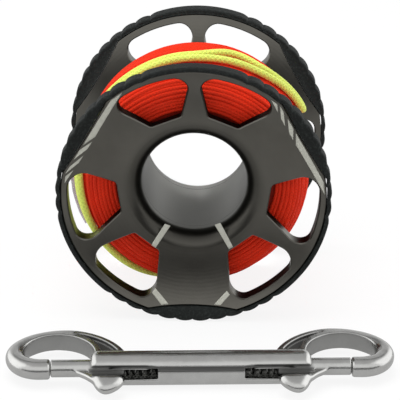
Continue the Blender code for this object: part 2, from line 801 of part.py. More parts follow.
def turned_along_x(bm, profile, sides):
    """A round piece along X from (x, radius) points."""
    rings = []
    for x, radius in profile:
        ring = []
        for side in range(sides):
            turn = 2 * math.pi * (side + 1 / 2) / sides
            ring.append(Vector((x, radius * math.cos(turn), radius * math.sin(turn))))
        rings.append(ring)
    loft(bm, rings)


def mirrored(points, hand):
    """An outline for one end of the snap: hand is 1 to the right and -1 to the left."""
    return [Vector((hand * point.x, point.y)) for point in points]


def inner_tangent(centre, radius, small_radius, angle):
    """Centre of a smaller arc that touches the larger one from inside, at an angle."""
    return centre + (radius - small_radius) * Vector((math.cos(angle), math.sin(angle)))


def polar(centre, radius, angle):
    """A point of a circle in plan."""
    return centre + radius * Vector((math.cos(angle), math.sin(angle)))


def cross_height(centre, radius, y):
    """The point, on the side toward the barrel, where a circle crosses a height in plan."""
    return Vector((centre.x - math.sqrt(radius**2 - (y - centre.y) ** 2), y))


def hook_outline():
    """The right-hand hook with its gusset and eye, as one closed outline in plan."""
    root = BARREL_RADIUS / 2
    crest = Vector((HOOK_CREST, HOOK_TOP))
    heel_start = polar(END_CENTRE, END_RADIUS, HOOK_HEEL_ANGLE)
    heel = inner_tangent(END_CENTRE, END_RADIUS, HOOK_HEEL_RADIUS, HOOK_HEEL_ANGLE)
    under = polar(heel, HOOK_HEEL_RADIUS, -math.pi / 2)
    outline = arc_points(BACK_CENTRE, cross_height(BACK_CENTRE, HOOK_BACK_RADIUS, root), crest, 7)
    outline += arc_points(END_CENTRE, crest, heel_start, 4)[1:]
    outline += arc_points(heel, heel_start, under, 6)[1:]
    outline.append(Vector((NOSE_TIP, -NOSE_HALF_WIDTH)))

    eye_start = polar(EYE_CENTRE, EYE_RADIUS, EYE_HEEL_ANGLE)
    eye_heel = inner_tangent(EYE_CENTRE, EYE_RADIUS, EYE_HEEL_RADIUS, EYE_HEEL_ANGLE)
    eye_floor = polar(eye_heel, EYE_HEEL_RADIUS, -math.pi / 2)
    eye_crest = Vector((HOOK_CREST, EYE_TOP))
    outline.append(Vector((NOSE_TIP, eye_floor.y)))
    outline += arc_points(eye_heel, eye_floor, eye_start, 4)
    outline += arc_points(EYE_CENTRE, eye_start, eye_crest, 4)[1:]
    outline += arc_points(ROOT_CENTRE, eye_crest, polar(ROOT_CENTRE, ROOT_RADIUS, math.pi), 5)[1:]
    outline.append(Vector((EYE_ROOT, root)))
    return outline


def pocket_outline():
    """The triangular recess in a gusset, inside even borders."""
    low = BARREL_RADIUS + GUSSET_BORDER / 2
    back = HOOK_BACK_RADIUS - GUSSET_BORDER
    eye = ROOT_RADIUS + GUSSET_BORDER
    drop = ROOT_CENTRE.y - BACK_CENTRE.y
    top = ROOT_CENTRE.y + (back**2 - eye**2 - drop**2) / (2 * drop)
    apex = cross_height(ROOT_CENTRE, eye, top)
    outline = arc_points(BACK_CENTRE, cross_height(BACK_CENTRE, back, low), apex, 4)
    return outline + arc_points(ROOT_CENTRE, apex, cross_height(ROOT_CENTRE, eye, low), 4)[1:]


def barrel_profile():
    """The barrel with its bullet ends, as (x, radius) points."""
    profile = []
    for step in range(4):
        angle = math.pi / 2 * step / 3
        x = BARREL_HALF_LENGTH - BARREL_NOSE_FILLET * (1 - math.sin(angle))
        radius = BARREL_RADIUS - BARREL_NOSE_FILLET * (1 - math.cos(angle))
        profile.append((x, radius))
    profile.sort()
    return [(-x, radius) for x, radius in reversed(profile)] + profile


def make_snap_body(parent, mat):
    """The cast frame: hooks and gussets joined to a slotted, bored barrel."""
    hooks = bmesh.new()
    for hand in (-1, 1):
        flat_piece(hooks, mirrored(hook_outline(), hand), SNAP_THICKNESS)
    body = mesh_object("snap_body", hooks, mat, parent)
    rounding = body.modifiers.new("round_edges", "BEVEL")
    rounding.width = HOOK_EDGE_ROUND
    rounding.segments = 2
    rounding.limit_method = "ANGLE"
    rounding.angle_limit = BEVEL_ANGLE

    barrel = bmesh.new()
    turned_along_x(barrel, barrel_profile(), BARREL_SIDES)
    boolean(body, cutter("barrel_union", barrel, parent), "UNION")

    flats = bmesh.new()
    reach = BARREL_HALF_LENGTH + CUT_OVERRUN
    front = BARREL_RADIUS + CUT_OVERRUN
    face = [Vector((-reach, -front)), Vector((reach, -front)), Vector((reach, -BARREL_FLAT))]
    flat_piece(flats, face + [Vector((-reach, -BARREL_FLAT))], 2 * front)
    boolean(body, cutter("front_flat", flats, parent))

    pockets = bmesh.new()
    for hand in (-1, 1):
        for top in (-1, 1):
            low = top * (SNAP_THICKNESS / 2 - POCKET_DEPTH)
            high = top * (SNAP_THICKNESS / 2 + CUT_OVERRUN)
            prism(pockets, mirrored(pocket_outline(), hand), in_plan, low, high)
    boolean(body, cutter("gusset_pockets", pockets, parent))

    bores = bmesh.new()
    for hand in (-1, 1):
        ends = ((hand * BARREL_WEB_HALF, BORE_IN_BARREL), (hand * reach, BORE_IN_BARREL))
        turned_along_x(bores, ends, 16)
    boolean(body, cutter("bolt_bores", bores, parent))

    slots = bmesh.new()
    for hand in (-1, 1):
        corners = [
            Vector((hand * SLOT_INNER_END, -front)),
            Vector((hand * reach, -front)),
            Vector((hand * reach, 0.0)),
            Vector((hand * SLOT_INNER_END, 0.0)),
        ]
        flat_piece(slots, corners, 2 * SLOT_HALF_HEIGHT)
    boolean(body, cutter("knob_slots", slots, parent))

    cove = bmesh.new()
    taper = COVE_RADIUS
    ends = (
        (-COVE_HALF_LENGTH - taper, COVE_RADIUS - COVE_DEPTH),
        (-COVE_HALF_LENGTH, COVE_RADIUS),
        (COVE_HALF_LENGTH, COVE_RADIUS),
        (COVE_HALF_LENGTH + taper, COVE_RADIUS - COVE_DEPTH),
    )
    turned_along_x(cove, ends, 16)
    away = BARREL_RADIUS + COVE_RADIUS - COVE_DEPTH
    spot = (0.0, -away * math.cos(COVE_ANGLE), away * math.sin(COVE_ANGLE))
    boolean(body, cutter("finger_cove", cove, parent, spot))
    return body


def knob_outline():
    """The rounded triangle of the thumb knob, in plan."""
    inner = KNOB_OUTER_END - KNOB_LENGTH
    corners = (
        Vector((inner, -KNOB_INNER_REACH)),
        Vector((KNOB_OUTER_END, -KNOB_INNER_REACH)),
        Vector((KNOB_OUTER_END - KNOB_LENGTH / 4, -KNOB_OUTER_REACH)),
    )
    radius = KNOB_THICKNESS / 3
    return rounded_polygon(corners, (radius, radius, radius), 4)


def neck_outline():
    """The curved neck that carries the knob from the bolt, in plan."""
    outer = smooth_row(
        (
            Vector((NECK_ROOT, -BOLT_RADIUS / 2)),
            Vector((NECK_ROOT - NECK_ROOT_LENGTH / 3, -BOLT_RADIUS - NECK_THICKNESS / 3)),
            Vector((KNOB_OUTER_END + NECK_THICKNESS, -KNOB_INNER_REACH - NECK_THICKNESS)),
            Vector((KNOB_OUTER_END - NECK_THICKNESS, -KNOB_INNER_REACH - 2 * NECK_THICKNESS)),
        ),
        7,
    )
    inner = smooth_row(
        (
            Vector((KNOB_OUTER_END - NECK_THICKNESS, -KNOB_INNER_REACH - NECK_THICKNESS / 4)),
            Vector((NECK_ROOT - NECK_ROOT_LENGTH, -BOLT_RADIUS - NECK_THICKNESS / 2)),
            Vector((NECK_ROOT - NECK_ROOT_LENGTH, -BOLT_RADIUS / 2)),
        ),
        5,
    )
    return outer + inner


def make_bolt(name, parent, mat, hand):
    """A bolt with its cast neck and knob, its origin on the barrel's axis."""
    rod_round = BOLT_RADIUS / 5
    tip = NOSE_TIP - GATE_GAP
    ends = (
        (BOLT_INNER_END, BOLT_RADIUS - rod_round),
        (BOLT_INNER_END + rod_round, BOLT_RADIUS),
        (tip - rod_round, BOLT_RADIUS),
        (tip, BOLT_RADIUS - rod_round),
    )
    rod = bmesh.new()
    turned_along_x(rod, [(hand * x, radius) for x, radius in ends], 16)
    bolt = mesh_object(name, rod, mat, parent)

    neck = bmesh.new()
    flat_piece(neck, mirrored(neck_outline(), hand), NECK_THICKNESS)
    boolean(bolt, cutter(name + "_neck", neck, parent), "UNION")

    knob = bmesh.new()
    flat_piece(knob, mirrored(knob_outline(), hand), KNOB_THICKNESS)
    thumb = cutter(name + "_thumb", knob, parent)
    rounding = thumb.modifiers.new("round_edges", "BEVEL")
    rounding.width = KNOB_EDGE_ROUND
    rounding.segments = 2
    rounding.limit_method = "ANGLE"
    rounding.angle_limit = BEVEL_ANGLE
    boolean(bolt, thumb, "UNION")
    return bolt


def make_spring(name, parent, mat, hand):
    """A return spring between the barrel's web and the bolt, with closed end coils."""
    start = BARREL_WEB_HALF + SPRING_FIT + SPRING_WIRE / 2
    end = BOLT_INNER_END - SPRING_FIT - SPRING_WIRE / 2
    steps = SPRING_COILS * SPRING_STEPS
    points = []
    for step in range(steps + 1):
        turn = 2 * math.pi * step / SPRING_STEPS
        x = start + (end - start) * step / steps
        y = SPRING_MEAN_RADIUS * math.cos(turn)
        points.append(Vector((hand * x, y, SPRING_MEAN_RADIUS * math.sin(turn))))
    gap = least_gap(points, SPRING_WIRE, SPRING_STEPS // 2)
    print("least gap in", name + ", mm:", round(gap / MM, 2))
    return tube_curve(name, points, SPRING_WIRE, 1, mat, parent)


# The set


def lowest_ring_point():
    """How far the lowest point of a grip ring lies below the spool's axis."""
    return max(-ring_edge(angle) * math.sin(angle) for angle in ring_angles())


def layout():
    """Places of the snap's axis and the spool's centre, with the set centred on the origin."""
    turn = abs(SPOOL_TURN)
    rim = SPOOL_RADIUS - RING_CORNER
    rim_along = HALF_WIDTH - face_depth(OUTER_FACE, rim)
    rear = SPOOL_BEHIND_SNAP + rim_along * math.cos(turn) + rim * math.sin(turn)
    front = max(-point.y for point in knob_outline())
    snap_y = (front - rear) / 2
    snap = Vector((0.0, snap_y, BARREL_RADIUS * math.cos(math.pi / BARREL_SIDES)))
    spool = Vector((SPOOL_SIDEWAYS, snap_y + SPOOL_BEHIND_SNAP, lowest_ring_point()))
    return snap, spool


def main():
    clear_scene()
    anodised = material("anodised_aluminium", (0.09, 0.085, 0.075), 0.38, 1.0)
    bare = material("turned_aluminium", (0.32, 0.32, 0.31), 0.35, 1.0)
    rubber = material("grip_rubber", (0.022, 0.030, 0.034), 0.7)
    line = material("red_line", (0.75, 0.045, 0.012), 0.6)
    cord = material("yellow_cord", (0.78, 0.85, 0.12), 0.65)
    clear = material("clear_sleeve", (0.85, 0.85, 0.82), 0.2, 0.0, 0.4)
    steel = material("cast_stainless", (0.55, 0.55, 0.55), 0.25, 1.0)
    wire = material("spring_wire", (0.5, 0.5, 0.5), 0.35, 1.0)

    snap_place, spool_place = layout()
    spool = empty("spool_axis", spool_place, SPOOL_TURN)
    make_flange("front_flange", spool, anodised, -1)
    make_flange("rear_flange", spool, anodised, 1)
    make_hub_tube(spool, bare)
    make_grip_ring("front_grip_ring", spool, rubber, -1)
    make_grip_ring("rear_grip_ring", spool, rubber, 1)
    make_line_core(spool, line)
    make_line_turns(spool, line)
    make_leader(spool, cord)
    make_sleeve(spool, clear)
    make_line_end(spool, line)

    snap = empty("snap_axis", snap_place)
    make_snap_body(snap, steel)
    make_bolt("left_bolt", snap, steel, -1)
    make_bolt("right_bolt", snap, steel, 1)
    make_spring("left_spring", snap, wire, -1)
    make_spring("right_spring", snap, wire, 1)


main()
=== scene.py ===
"""Looks of a finger spool and its double-ended bolt snap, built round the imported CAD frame."""

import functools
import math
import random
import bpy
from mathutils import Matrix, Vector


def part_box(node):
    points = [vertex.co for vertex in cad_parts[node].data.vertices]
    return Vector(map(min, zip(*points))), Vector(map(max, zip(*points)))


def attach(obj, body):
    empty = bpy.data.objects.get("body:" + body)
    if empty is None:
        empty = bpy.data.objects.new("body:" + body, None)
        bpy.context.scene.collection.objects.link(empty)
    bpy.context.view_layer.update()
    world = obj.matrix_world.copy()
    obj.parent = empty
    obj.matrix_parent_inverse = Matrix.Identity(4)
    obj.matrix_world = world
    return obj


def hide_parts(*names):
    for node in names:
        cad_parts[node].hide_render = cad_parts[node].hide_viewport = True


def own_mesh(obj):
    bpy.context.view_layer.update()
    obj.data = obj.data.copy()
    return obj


bl_info = {
    "name": "Finger Spool Looks",
    "version": (1, 0, 0),
    "blender": (4, 5, 0),
    "location": "3D View > Sidebar > Spool",
    "description": "Builds the looks of a finger spool with wound line and its bolt snap",
    "category": "Object",
}

import bmesh
import bpy
import numpy as np
from bpy.props import FloatProperty, FloatVectorProperty, IntProperty, PointerProperty
from mathutils import Matrix, Vector

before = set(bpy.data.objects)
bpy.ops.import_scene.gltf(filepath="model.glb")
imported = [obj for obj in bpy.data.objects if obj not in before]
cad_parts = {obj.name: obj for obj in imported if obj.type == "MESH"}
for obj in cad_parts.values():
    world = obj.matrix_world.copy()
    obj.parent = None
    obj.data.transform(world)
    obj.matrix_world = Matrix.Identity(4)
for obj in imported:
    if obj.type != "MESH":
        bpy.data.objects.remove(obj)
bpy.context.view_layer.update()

MM = 0.001

# The spool's two ends and the snap's two sides, and which way each lies
ENDS = (("front", -1), ("rear", 1))
SIDES = (("left", -1), ("right", 1))


def middle(node):
    """The middle of a CAD node's box."""
    low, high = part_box(node)
    return (low + high) / 2


# The spool stands turned a little from the snap, which lies along X
SPOOL_TURN = math.radians(-3.3)
SPOOL_FRAME = Matrix.Translation(middle("hub_tube")) @ Matrix.Rotation(SPOOL_TURN, 4, "Z")
SNAP_FRAME = Matrix.Translation(Vector((0.0, middle("left_spring").y, middle("left_spring").z)))

# Spool sizes, the same as the solids' own
SPOOL_RADIUS = 45.0 * MM
HALF_WIDTH = 32.5 * MM
BORE_RADIUS = 17.4 * MM
BORE_MOUTH_FILLET = 6.5 * MM
HUB_RADIUS = 20.2 * MM
LAP_RADIUS = 18.8 * MM
LAP_FIT = 0.3 * MM
HUB_FILLET = 2.4 * MM
COLLAR_STEP_DEPTH = 17.2 * MM
COLLAR_END_DEPTH = 22.0 * MM
DISH_RADIUS = 60.0 * MM
DISH_FOOT_RADIUS = 24.0 * MM
DISH_DEPTH = 8.9 * MM
WEB_AT_HUB = 4.4 * MM
WEB_AT_RIM = 5.6 * MM
EDGE_CHAMFER = 0.35 * MM
FLANGE_RADIUS = 43.3 * MM
CUT_MIDDLE_RADIUS = 40.1 * MM
CUT_HALF_ANGLE = math.radians(20.0)
CUT_HOLLOW = 0.6 * MM
ZONE_STEP = math.radians(120.0)
FIRST_ZONE_ANGLE = math.radians(30.0)
WINDOW_FOOT_RADIUS = 25.6 * MM
WINDOW_TOP_RADIUS = 41.1 * MM
NARROW_SPOKE_HALF = 4.35 * MM
NARROW_SPOKE_TAPER = math.radians(12.0)
WIDE_SPOKE_HALF = 11.4 * MM
WIDE_SPOKE_TAPER = math.radians(4.4)
WINDOW_SMALL_CORNER = 1.4 * MM
WINDOW_LARGE_CORNER = 4.4 * MM
RING_FIT = 0.3 * MM
RING_CORNER = 0.8 * MM
RING_LAND = 0.5 * MM
SCALLOP_PITCH = math.radians(7.5)
SCALLOPS_PER_ZONE = 11
LUMP_SQUARENESS = 0.7
FLANGE_STEPS = 288
RING_STEPS = 960
HUB_STEPS = 160
TUBE_EDGE = 0.12 * MM
CUTTER_OVERRUN = 1.0 * MM
# How close a point lies to a dished face to count as on it, and the angles beyond which an edge shows sharp
FACE_TOLERANCE = 0.03 * MM
SHARP_METAL = math.radians(28.0)
SHARP_TUBE = math.radians(30.0)
SHARP_RUBBER = math.radians(50.0)

# The wound line and its leader
WOUND_RADIUS = 38.2 * MM
WOUND_FOOT_RADIUS = 26.2 * MM
WOUND_SQUARENESS = 3.6
WOUND_CLEARANCE = 0.35 * MM
TURN_STEPS = 96
# How far the turns wander and sink, and within how many turns
TURN_DRIFT = 0.16 * MM
TURN_DRIFT_REACH = 1.3
TURN_SINK = 0.10 * MM
TURN_SINK_REACH = 0.9
# How far the stray turns run round the spool, where they start, and how they cross over, wobble and end
STRAY_SWEEPS = (1.2 * math.pi, 2.1 * math.pi)
STRAY_SPREAD = 17.5 * MM
STRAY_RUN = 4.0 * MM
STRAY_WOBBLE = 0.4 * MM
STRAY_WOBBLE_STEPS = 80
STRAY_LIMIT = 19.5 * MM
# How deep a stray turn lies below the surface of the winding, in its own thickness, at its ends and between
STRAY_DEPTHS = (0.95, 0.40)
# The core lies a little deeper than the middle of the outer layer, and clears the hub
CORE_DEPTH = 0.62
CORE_STEPS = 40
CORE_FIT = 0.1 * MM
LEADER_LIFT = 0.3 * MM
# Degrees round the spool, then mm from its middle plane and half the spacing of the two strands
LEADER_ROUTE = (
    (27, 7.2, 1.5), (44, 2.4, 1.5), (58, -1.0, 2.6), (72, -1.6, 3.7), (88, -5.4, 1.7), (105, -6.6, 1.5),
    (128, -9.2, 1.5), (150, -12.5, 1.5), (180, -15.6, 1.5), (202, -16.0, 1.5), (224, -15.0, 1.5),
    (240, -12.8, 1.5), (254, -8.8, 1.5), (266, -4.5, 1.5),
)
SLEEVE_DIAMETER = 3.6 * MM
SLEEVE_WALL = 0.35 * MM
SLEEVE_START = math.radians(181.0)
SLEEVE_END = math.radians(207.0)
SLEEVE_FROM_MIDDLE = -10.6 * MM
SLEEVE_STEPS = 49
SLEEVE_SWELL = 0.03
KNOT_DIAMETER = 2.3 * MM
KNOT_LENGTH = 4.4 * MM
KNOT_WRAPS = 4
TAIL_DIAMETER = 1.4 * MM
# The wraps are drawn thinner than the tail and pulled close round it
WRAP_RADIUS = 0.36 * TAIL_DIAMETER
WRAP_REACH = 0.62 * (KNOT_DIAMETER / 2 - TAIL_DIAMETER / 4)

# The snap, in its own frame: x along the barrel, y away from the viewer, z up
SNAP_HALF_THICKNESS = 3.0 * MM
BARREL_RADIUS = 5.4 * MM
BARREL_HALF_LENGTH = 34.5 * MM
BARREL_NOSE_FILLET = 2.4 * MM
BARREL_FLAT = 4.9 * MM
BARREL_WEB_HALF = 4.5 * MM
BOLT_RADIUS = 2.75 * MM
BOLT_FIT = 0.3 * MM
BOLT_INNER_END = 24.0 * MM
GATE_GAP = 0.15 * MM
SLOT_HALF_HEIGHT = 1.4 * MM
SLOT_INNER_END = 13.6 * MM
SLOT_FLARE = 0.4 * MM
SLOT_RAISED = 0.4 * MM
FRONT_FACE_FOOT = 3.1 * MM
FRONT_FACE_TOP = 2.0 * MM
# The groove under the barrel's upper bar: its half width in the middle and beside the slots
GROOVE_DEPTH = 0.9 * MM
GROOVE_LEAN = math.radians(17.0)
GROOVE_HALF_WIDTH = 0.75 * MM
GROOVE_NARROW_HALF = 0.35 * MM
GROOVE_ANGLE = math.radians(22.0)
GROOVE_NARROW_ANGLE = math.radians(31.0)
GROOVE_NARROWS_AT = (12.5 * MM, 18.0 * MM)
HOOK_TOP = 21.0 * MM
HOOK_CREST = 45.5 * MM
HOOK_BACK_RADIUS = 23.5 * MM
HOOK_HEEL_RADIUS = 11.0 * MM
HOOK_HEEL_ANGLE = math.radians(30.0)
CREST_FROM_END = 16.0 * MM
NOSE_TIP = 47.2 * MM
NOSE_HALF_WIDTH = 3.1 * MM
EYE_ROOT = 33.4 * MM
EYE_TOP = 16.8 * MM
EYE_END = 55.5 * MM
EYE_HEEL_RADIUS = 5.4 * MM
EYE_HEEL_ANGLE = math.radians(20.0)
GUSSET_BORDER = 2.3 * MM
POCKET_DEPTH = 1.4 * MM
KNOB_OUTER_END = 34.4 * MM
KNOB_LENGTH = 10.4 * MM
KNOB_INNER_REACH = 5.6 * MM
KNOB_OUTER_REACH = 12.6 * MM
KNOB_HALF_THICKNESS = 2.1 * MM
KNOB_SWELL = 3.0 * MM
KNOB_DROP = -0.45 * MM
KNOB_TILT = math.radians(20.0)
# The knob's outline, in shares of its length and of its depth toward the viewer
KNOB_KNOTS = (
    (0.50, 0.0), (0.76, 0.02), (0.91, 0.12), (0.95, 0.32), (0.88, 0.62), (0.76, 0.87), (0.60, 1.0),
    (0.42, 0.97), (0.24, 0.82), (0.09, 0.61), (0.0, 0.38), (0.03, 0.17), (0.17, 0.04), (0.50, 0.0),
)
NECK_THICKNESS = 2.0 * MM
NECK_DROP = 0.2 * MM
NECK_ROOT = 40.5 * MM
NECK_ROOT_LENGTH = 4.6 * MM
SPRING_MEAN_RADIUS = 2.15 * MM
SPRING_WIRE = 0.6 * MM
SPRING_COILS = 8
SPRING_FIT = 0.3 * MM
SPRING_CLOSING = 0.035
# The corners of the grids that the castings are worked out on
SNAP_GRID = ((-62.6 * MM, -6.6 * MM, -6.6 * MM), (62.6 * MM, 22.4 * MM, 6.6 * MM))
BOLT_GRID = ((21.6 * MM, -15.0 * MM, -4.8 * MM), (48.0 * MM, 3.6 * MM, 3.6 * MM))

# How edges and corners of the castings are rounded
EDGE_ROUND = 0.5 * MM
FLAT_ROUND = 0.4 * MM
BLOCK_ROUND = 0.6 * MM
BLOCK_END_ROUND = 0.7 * MM
NECK_ROUND = 0.7 * MM
NOSE_END_ROUND = 0.9 * MM
NOSE_END_CLEARANCE = 1.5 * MM
BORE_OVERRUN = 2.0 * MM
BORE_EDGE_ROUND = 0.35 * MM
SLOT_EDGE_ROUND = 0.3 * MM
GROOVE_FLOOR_ROUND = 0.2 * MM
GROOVE_EDGE_ROUND = 0.25 * MM
# Where along the hook its rounding grows, and where across and along it the nose begins
HOOK_ROUNDS_AT = (38 * MM, 52 * MM)
NOSE_FALLS_AT = (-15 * MM, -5 * MM)
NOSE_STARTS_AT = (43 * MM, 47 * MM)
# How much dull skin and painted shade the eye's wall and the bolts get, and where up the eye it sets in
EYE_WALL_SHADE = 0.45
EYE_WALL_SHADE_STARTS_AT = (1.0 * MM, 12.0 * MM)
BOLT_SHADE = 0.8
# The mesh step of a bolt, in shares of the frame's
BOLT_STEP = 0.8
# The distances from a recess and from the eye's wall over which the dull skin and its painted shade fade
RECESS_SHADE_FADE = (0.02 * MM, 0.3 * MM)
EYE_WALL_SHADE_FADE = (0.05 * MM, 0.4 * MM)

# The stripes printed on a thick zone, in mm round the spool from its middle and outward, and the zones
ZONE_STRIPES = (
    ((-19.8, 37.8), (-15.8, 39.6), (3.2, 39.5), (-0.9, 37.4)),
    ((1.0, 37.4), (5.0, 39.6), (9.0, 39.7), (4.0, 37.5)),
    ((6.6, 37.5), (11.8, 39.7), (14.4, 39.8), (9.5, 37.6)),
    ((12.3, 37.9), (15.2, 39.3), (17.4, 38.3), (14.6, 38.1)),
)
STRIPE_ZONES = (0, 1)
# The plain bars below the bore, in mm right and up from the spool's axis
FACE_BARS = (
    ((-9.6, -13.5), (-7.7, -14.2), (-12.6, -21.8), (-14.1, -20.8)),
    ((6.9, -13.6), (8.8, -12.8), (13.2, -21.0), (11.8, -21.8)),
    ((-12.6, -34.7), (-13.6, -36.1), (-10.4, -39.9), (-8.0, -39.7)),
    ((11.4, -35.2), (12.4, -36.3), (9.4, -39.7), (7.1, -39.7)),
)
INK_LIFT = 0.03 * MM

# The camera's lens and film width, its place in mm from the hub's middle, and its angles in degrees
CAMERA_LENS = 165.24
CAMERA_SENSOR = 36.0
CAMERA_PLACE = (-19.437, -575.435, 243.2)
CAMERA_ANGLES = (1.215, 24.13, 0.561)
# The paper reaches far back and aside, and ends a little in front of the set, where the room is dim
PAPER_REACH = 3.0
PAPER_FRONT = -0.22
PAPER_DROP = 0.05 * MM
PAPER_GLOW = 0.86
# How bright metal sees the paper, as it is lit
PAPER_IN_METAL = 0.55
WORLD_LIGHT = 0.64
# What shiny metal sees, in degrees from the front horizon over the top to the backdrop, and how bright it is
ROOM_BANDS = (
    (0, 0.06), (11, 0.08), (27, 1.0), (62, 0.9), (75, 0.58), (118, 0.5), (130, 0.44), (139, 0.16), (143, 0.2),
    (149, 0.6), (158, 0.62), (168, 0.7), (180, 0.9),
)
# Two tall softboxes that metal mirrors: how far aside and how far back they fade in, and how bright they are
SIDE_BOX_ASIDE = (0.2, 0.65)
SIDE_BOX_BACK = (-0.62, -0.25)
SIDE_BOX_LEVEL = 1.5
# Each soft lamp's name, place from the hub's middle, width and power
LAMPS = (
    ("top_softbox", (-0.12, 0.02, 0.8), 0.7, 4.2),
    ("left_softbox", (-0.75, -0.35, 0.35), 0.5, 1.2),
    ("right_softbox", (0.75, -0.20, 0.40), 0.5, 1.0),
    ("backdrop_in_bore", (-0.001, 0.034, 0.002), 0.034, 0.011),
)
BORE_SPOT_PLACE = (0.0, 0.050, 0.034)
BORE_SPOT_AIM = (0.0, 0.032, -0.0174)
BORE_SPOT_POWER = 0.9
BORE_SPOT_RADIUS = 0.008
BORE_SPOT_ANGLE = math.radians(44.0)
BORE_SPOT_BLEND = 0.9


def linear(colour):
    """An sRGB hex colour as the linear red, green and blue that Blender works in."""
    shares = [int(colour[start : start + 2], 16) / 255 for start in (1, 3, 5)]
    return [s / 12.92 if s <= 0.04045 else ((s + 0.055) / 1.055) ** 2.4 for s in shares]


def colour_property(label, hint, colour):
    """A colour that the user can change."""
    return FloatVectorProperty(
        name=label, description=hint, subtype="COLOR", size=3, min=0.0, max=1.0, default=linear(colour)
    )


def length_property(label, hint, default):
    """A length in metres that the user can change."""
    return FloatProperty(name=label, description=hint, subtype="DISTANCE", unit="LENGTH", default=default)


class SpoolLooks(bpy.types.PropertyGroup):
    """Sizes and colours of the spool that a user would change."""

    window_chamfer: length_property("Window chamfer", "Width of the bright chamfer round a window", 0.35 * MM)
    scallop_depth: length_property("Scallop depth", "Depth of the notches in the rubber", 0.65 * MM)
    strand: length_property("Line thickness", "Diameter of the wound line", 1.5 * MM)
    turns: IntProperty(name="Turns", description="Turns of line in the outer layer", default=44, min=10)
    strays: IntProperty(name="Stray turns", description="Turns laid askew on the layer", default=13, min=0)
    leader: length_property("Leader thickness", "Diameter of the yellow leader", 2.4 * MM)
    anodised: colour_property("Anodising", "Colour of the anodised flanges", "#6A6862")
    tube: colour_property("Hub tube", "Colour of the turned hub tube", "#6C6C68")
    rubber: colour_property("Rubber", "Colour of the grip rings", "#111413")
    line: colour_property("Line", "Colour of the wound line", "#EC300D")
    cord: colour_property("Leader", "Colour of the leader", "#ECFB74")
    sleeve: colour_property("Sleeve", "Tint of the clear sleeve", "#E6DEE0")
    ink: colour_property("Stripes", "Colour of the printed stripes", "#C9C9BE")


class SnapLooks(bpy.types.PropertyGroup):
    """Sizes and colours of the snap that a user would change."""

    skin_step: length_property("Mesh step", "Distance between the points of the cast pieces", 0.3 * MM)
    gusset_round: length_property("Gusset rounding", "Edge rounding where hook and barrel meet", 1.2 * MM)
    hook_round: length_property("Hook rounding", "Edge rounding at the end of the hook", 2.85 * MM)
    casting_round: length_property("Casting fillet", "Fillet where cast forms meet", 0.9 * MM)
    steel: colour_property("Steel", "Colour of the polished casting", "#C9C9C7")
    # The springs' colour is set dark as painted shade inside the barrel
    wire: colour_property("Spring wire", "Colour of the springs", "#6E6E6C")


# Meshes


def add_object(name, data):
    """A new object in the scene."""
    item = bpy.data.objects.new(name, data)
    bpy.context.scene.collection.objects.link(item)
    return item


def finish_piece(name, mesh, body, material, replaced=()):
    """Puts a mesh in the scene in its own frame, with its material, on its body."""
    piece = add_object(name, mesh)
    piece.matrix_world = SPOOL_FRAME if body == "spool" else SNAP_FRAME
    piece.data.materials.clear()
    piece.data.materials.append(material)
    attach(piece, body)
    if replaced:
        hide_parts(*replaced)
    return piece


def outward(mesh, filled=False):
    """Turns the faces of a closed mesh outward, after its holes are filled if it has any."""
    bm = bmesh.new()
    bm.from_mesh(mesh)
    if filled:
        bmesh.ops.holes_fill(bm, edges=bm.edges)
    bmesh.ops.recalc_face_normals(bm, faces=bm.faces)
    bm.to_mesh(mesh)
    bm.free()
    return mesh


def vertex_points(mesh):
    """The places of a mesh's vertices, one to a row."""
    points = np.zeros(len(mesh.vertices) * 3)
    mesh.vertices.foreach_get("co", points)
    return points.reshape(-1, 3)


def lattice(name, rows, closed_rows=False, closed_ring=True, capped=False, along=None, around=None):
    """A smooth mesh from rows of points. along and around give its UVs in metres."""
    rows = np.asarray(rows, float)
    count, ring = rows.shape[:2]
    ends = np.arange(count if closed_rows else count - 1), np.arange(ring if closed_ring else ring - 1)
    near, left = (part.ravel() for part in np.meshgrid(*ends, indexing="ij"))
    far, right = (near + 1) % count, (left + 1) % ring
    corners = ((near, left), (near, right), (far, right), (far, left))
    faces = np.stack([row * ring + point for row, point in corners], -1).tolist()
    if capped:
        faces.append(list(range(ring))[::-1])
        faces.append(list(range((count - 1) * ring, count * ring)))
    mesh = bpy.data.meshes.new(name)
    mesh.from_pydata(rows.reshape(-1, 3).tolist(), [], faces)
    if along is not None:
        corners = ((near, left), (near, left + 1), (near + 1, left + 1), (near + 1, left))
        spots = [np.stack([along[row], around[point]], -1) for row, point in corners]
        spots = np.stack(spots, 1).reshape(-1, 2)
        caps = np.zeros((len(mesh.loops) - len(spots), 2))
        layer = mesh.uv_layers.new(name="Length")
        layer.data.foreach_set("uv", np.concatenate([spots, caps]).ravel())
    mesh.shade_smooth()
    return mesh


def tube(name, path, out, radius, sides, closed=False):
    """A round strand along a path, with UVs in metres along and round it."""
    path, out = np.asarray(path, float), np.asarray(out, float)
    if closed:
        heading = np.roll(path, -1, 0) - np.roll(path, 1, 0)
    else:
        heading = np.gradient(path, axis=0)
    heading /= np.linalg.norm(heading, axis=1)[:, None]
    out = out - heading * (out * heading).sum(1)[:, None]
    out /= np.linalg.norm(out, axis=1)[:, None]
    side = np.cross(heading, out)
    turn = 2 * math.pi * np.arange(sides) / sides
    radius = np.broadcast_to(radius, len(path))[:, None, None]
    rows = path[:, None] + radius * (
        out[:, None] * np.cos(turn)[None, :, None] + side[:, None] * np.sin(turn)[None, :, None]
    )
    steps = np.linalg.norm(np.diff(np.concatenate([path, path[:1]]), axis=0), axis=1)
    along = np.concatenate([[0.0], np.cumsum(steps)])
    around = np.arange(sides + 1) / sides * 2 * math.pi * float(radius.mean())
    return lattice(name, rows, closed_rows=closed, capped=not closed, along=along, around=around)


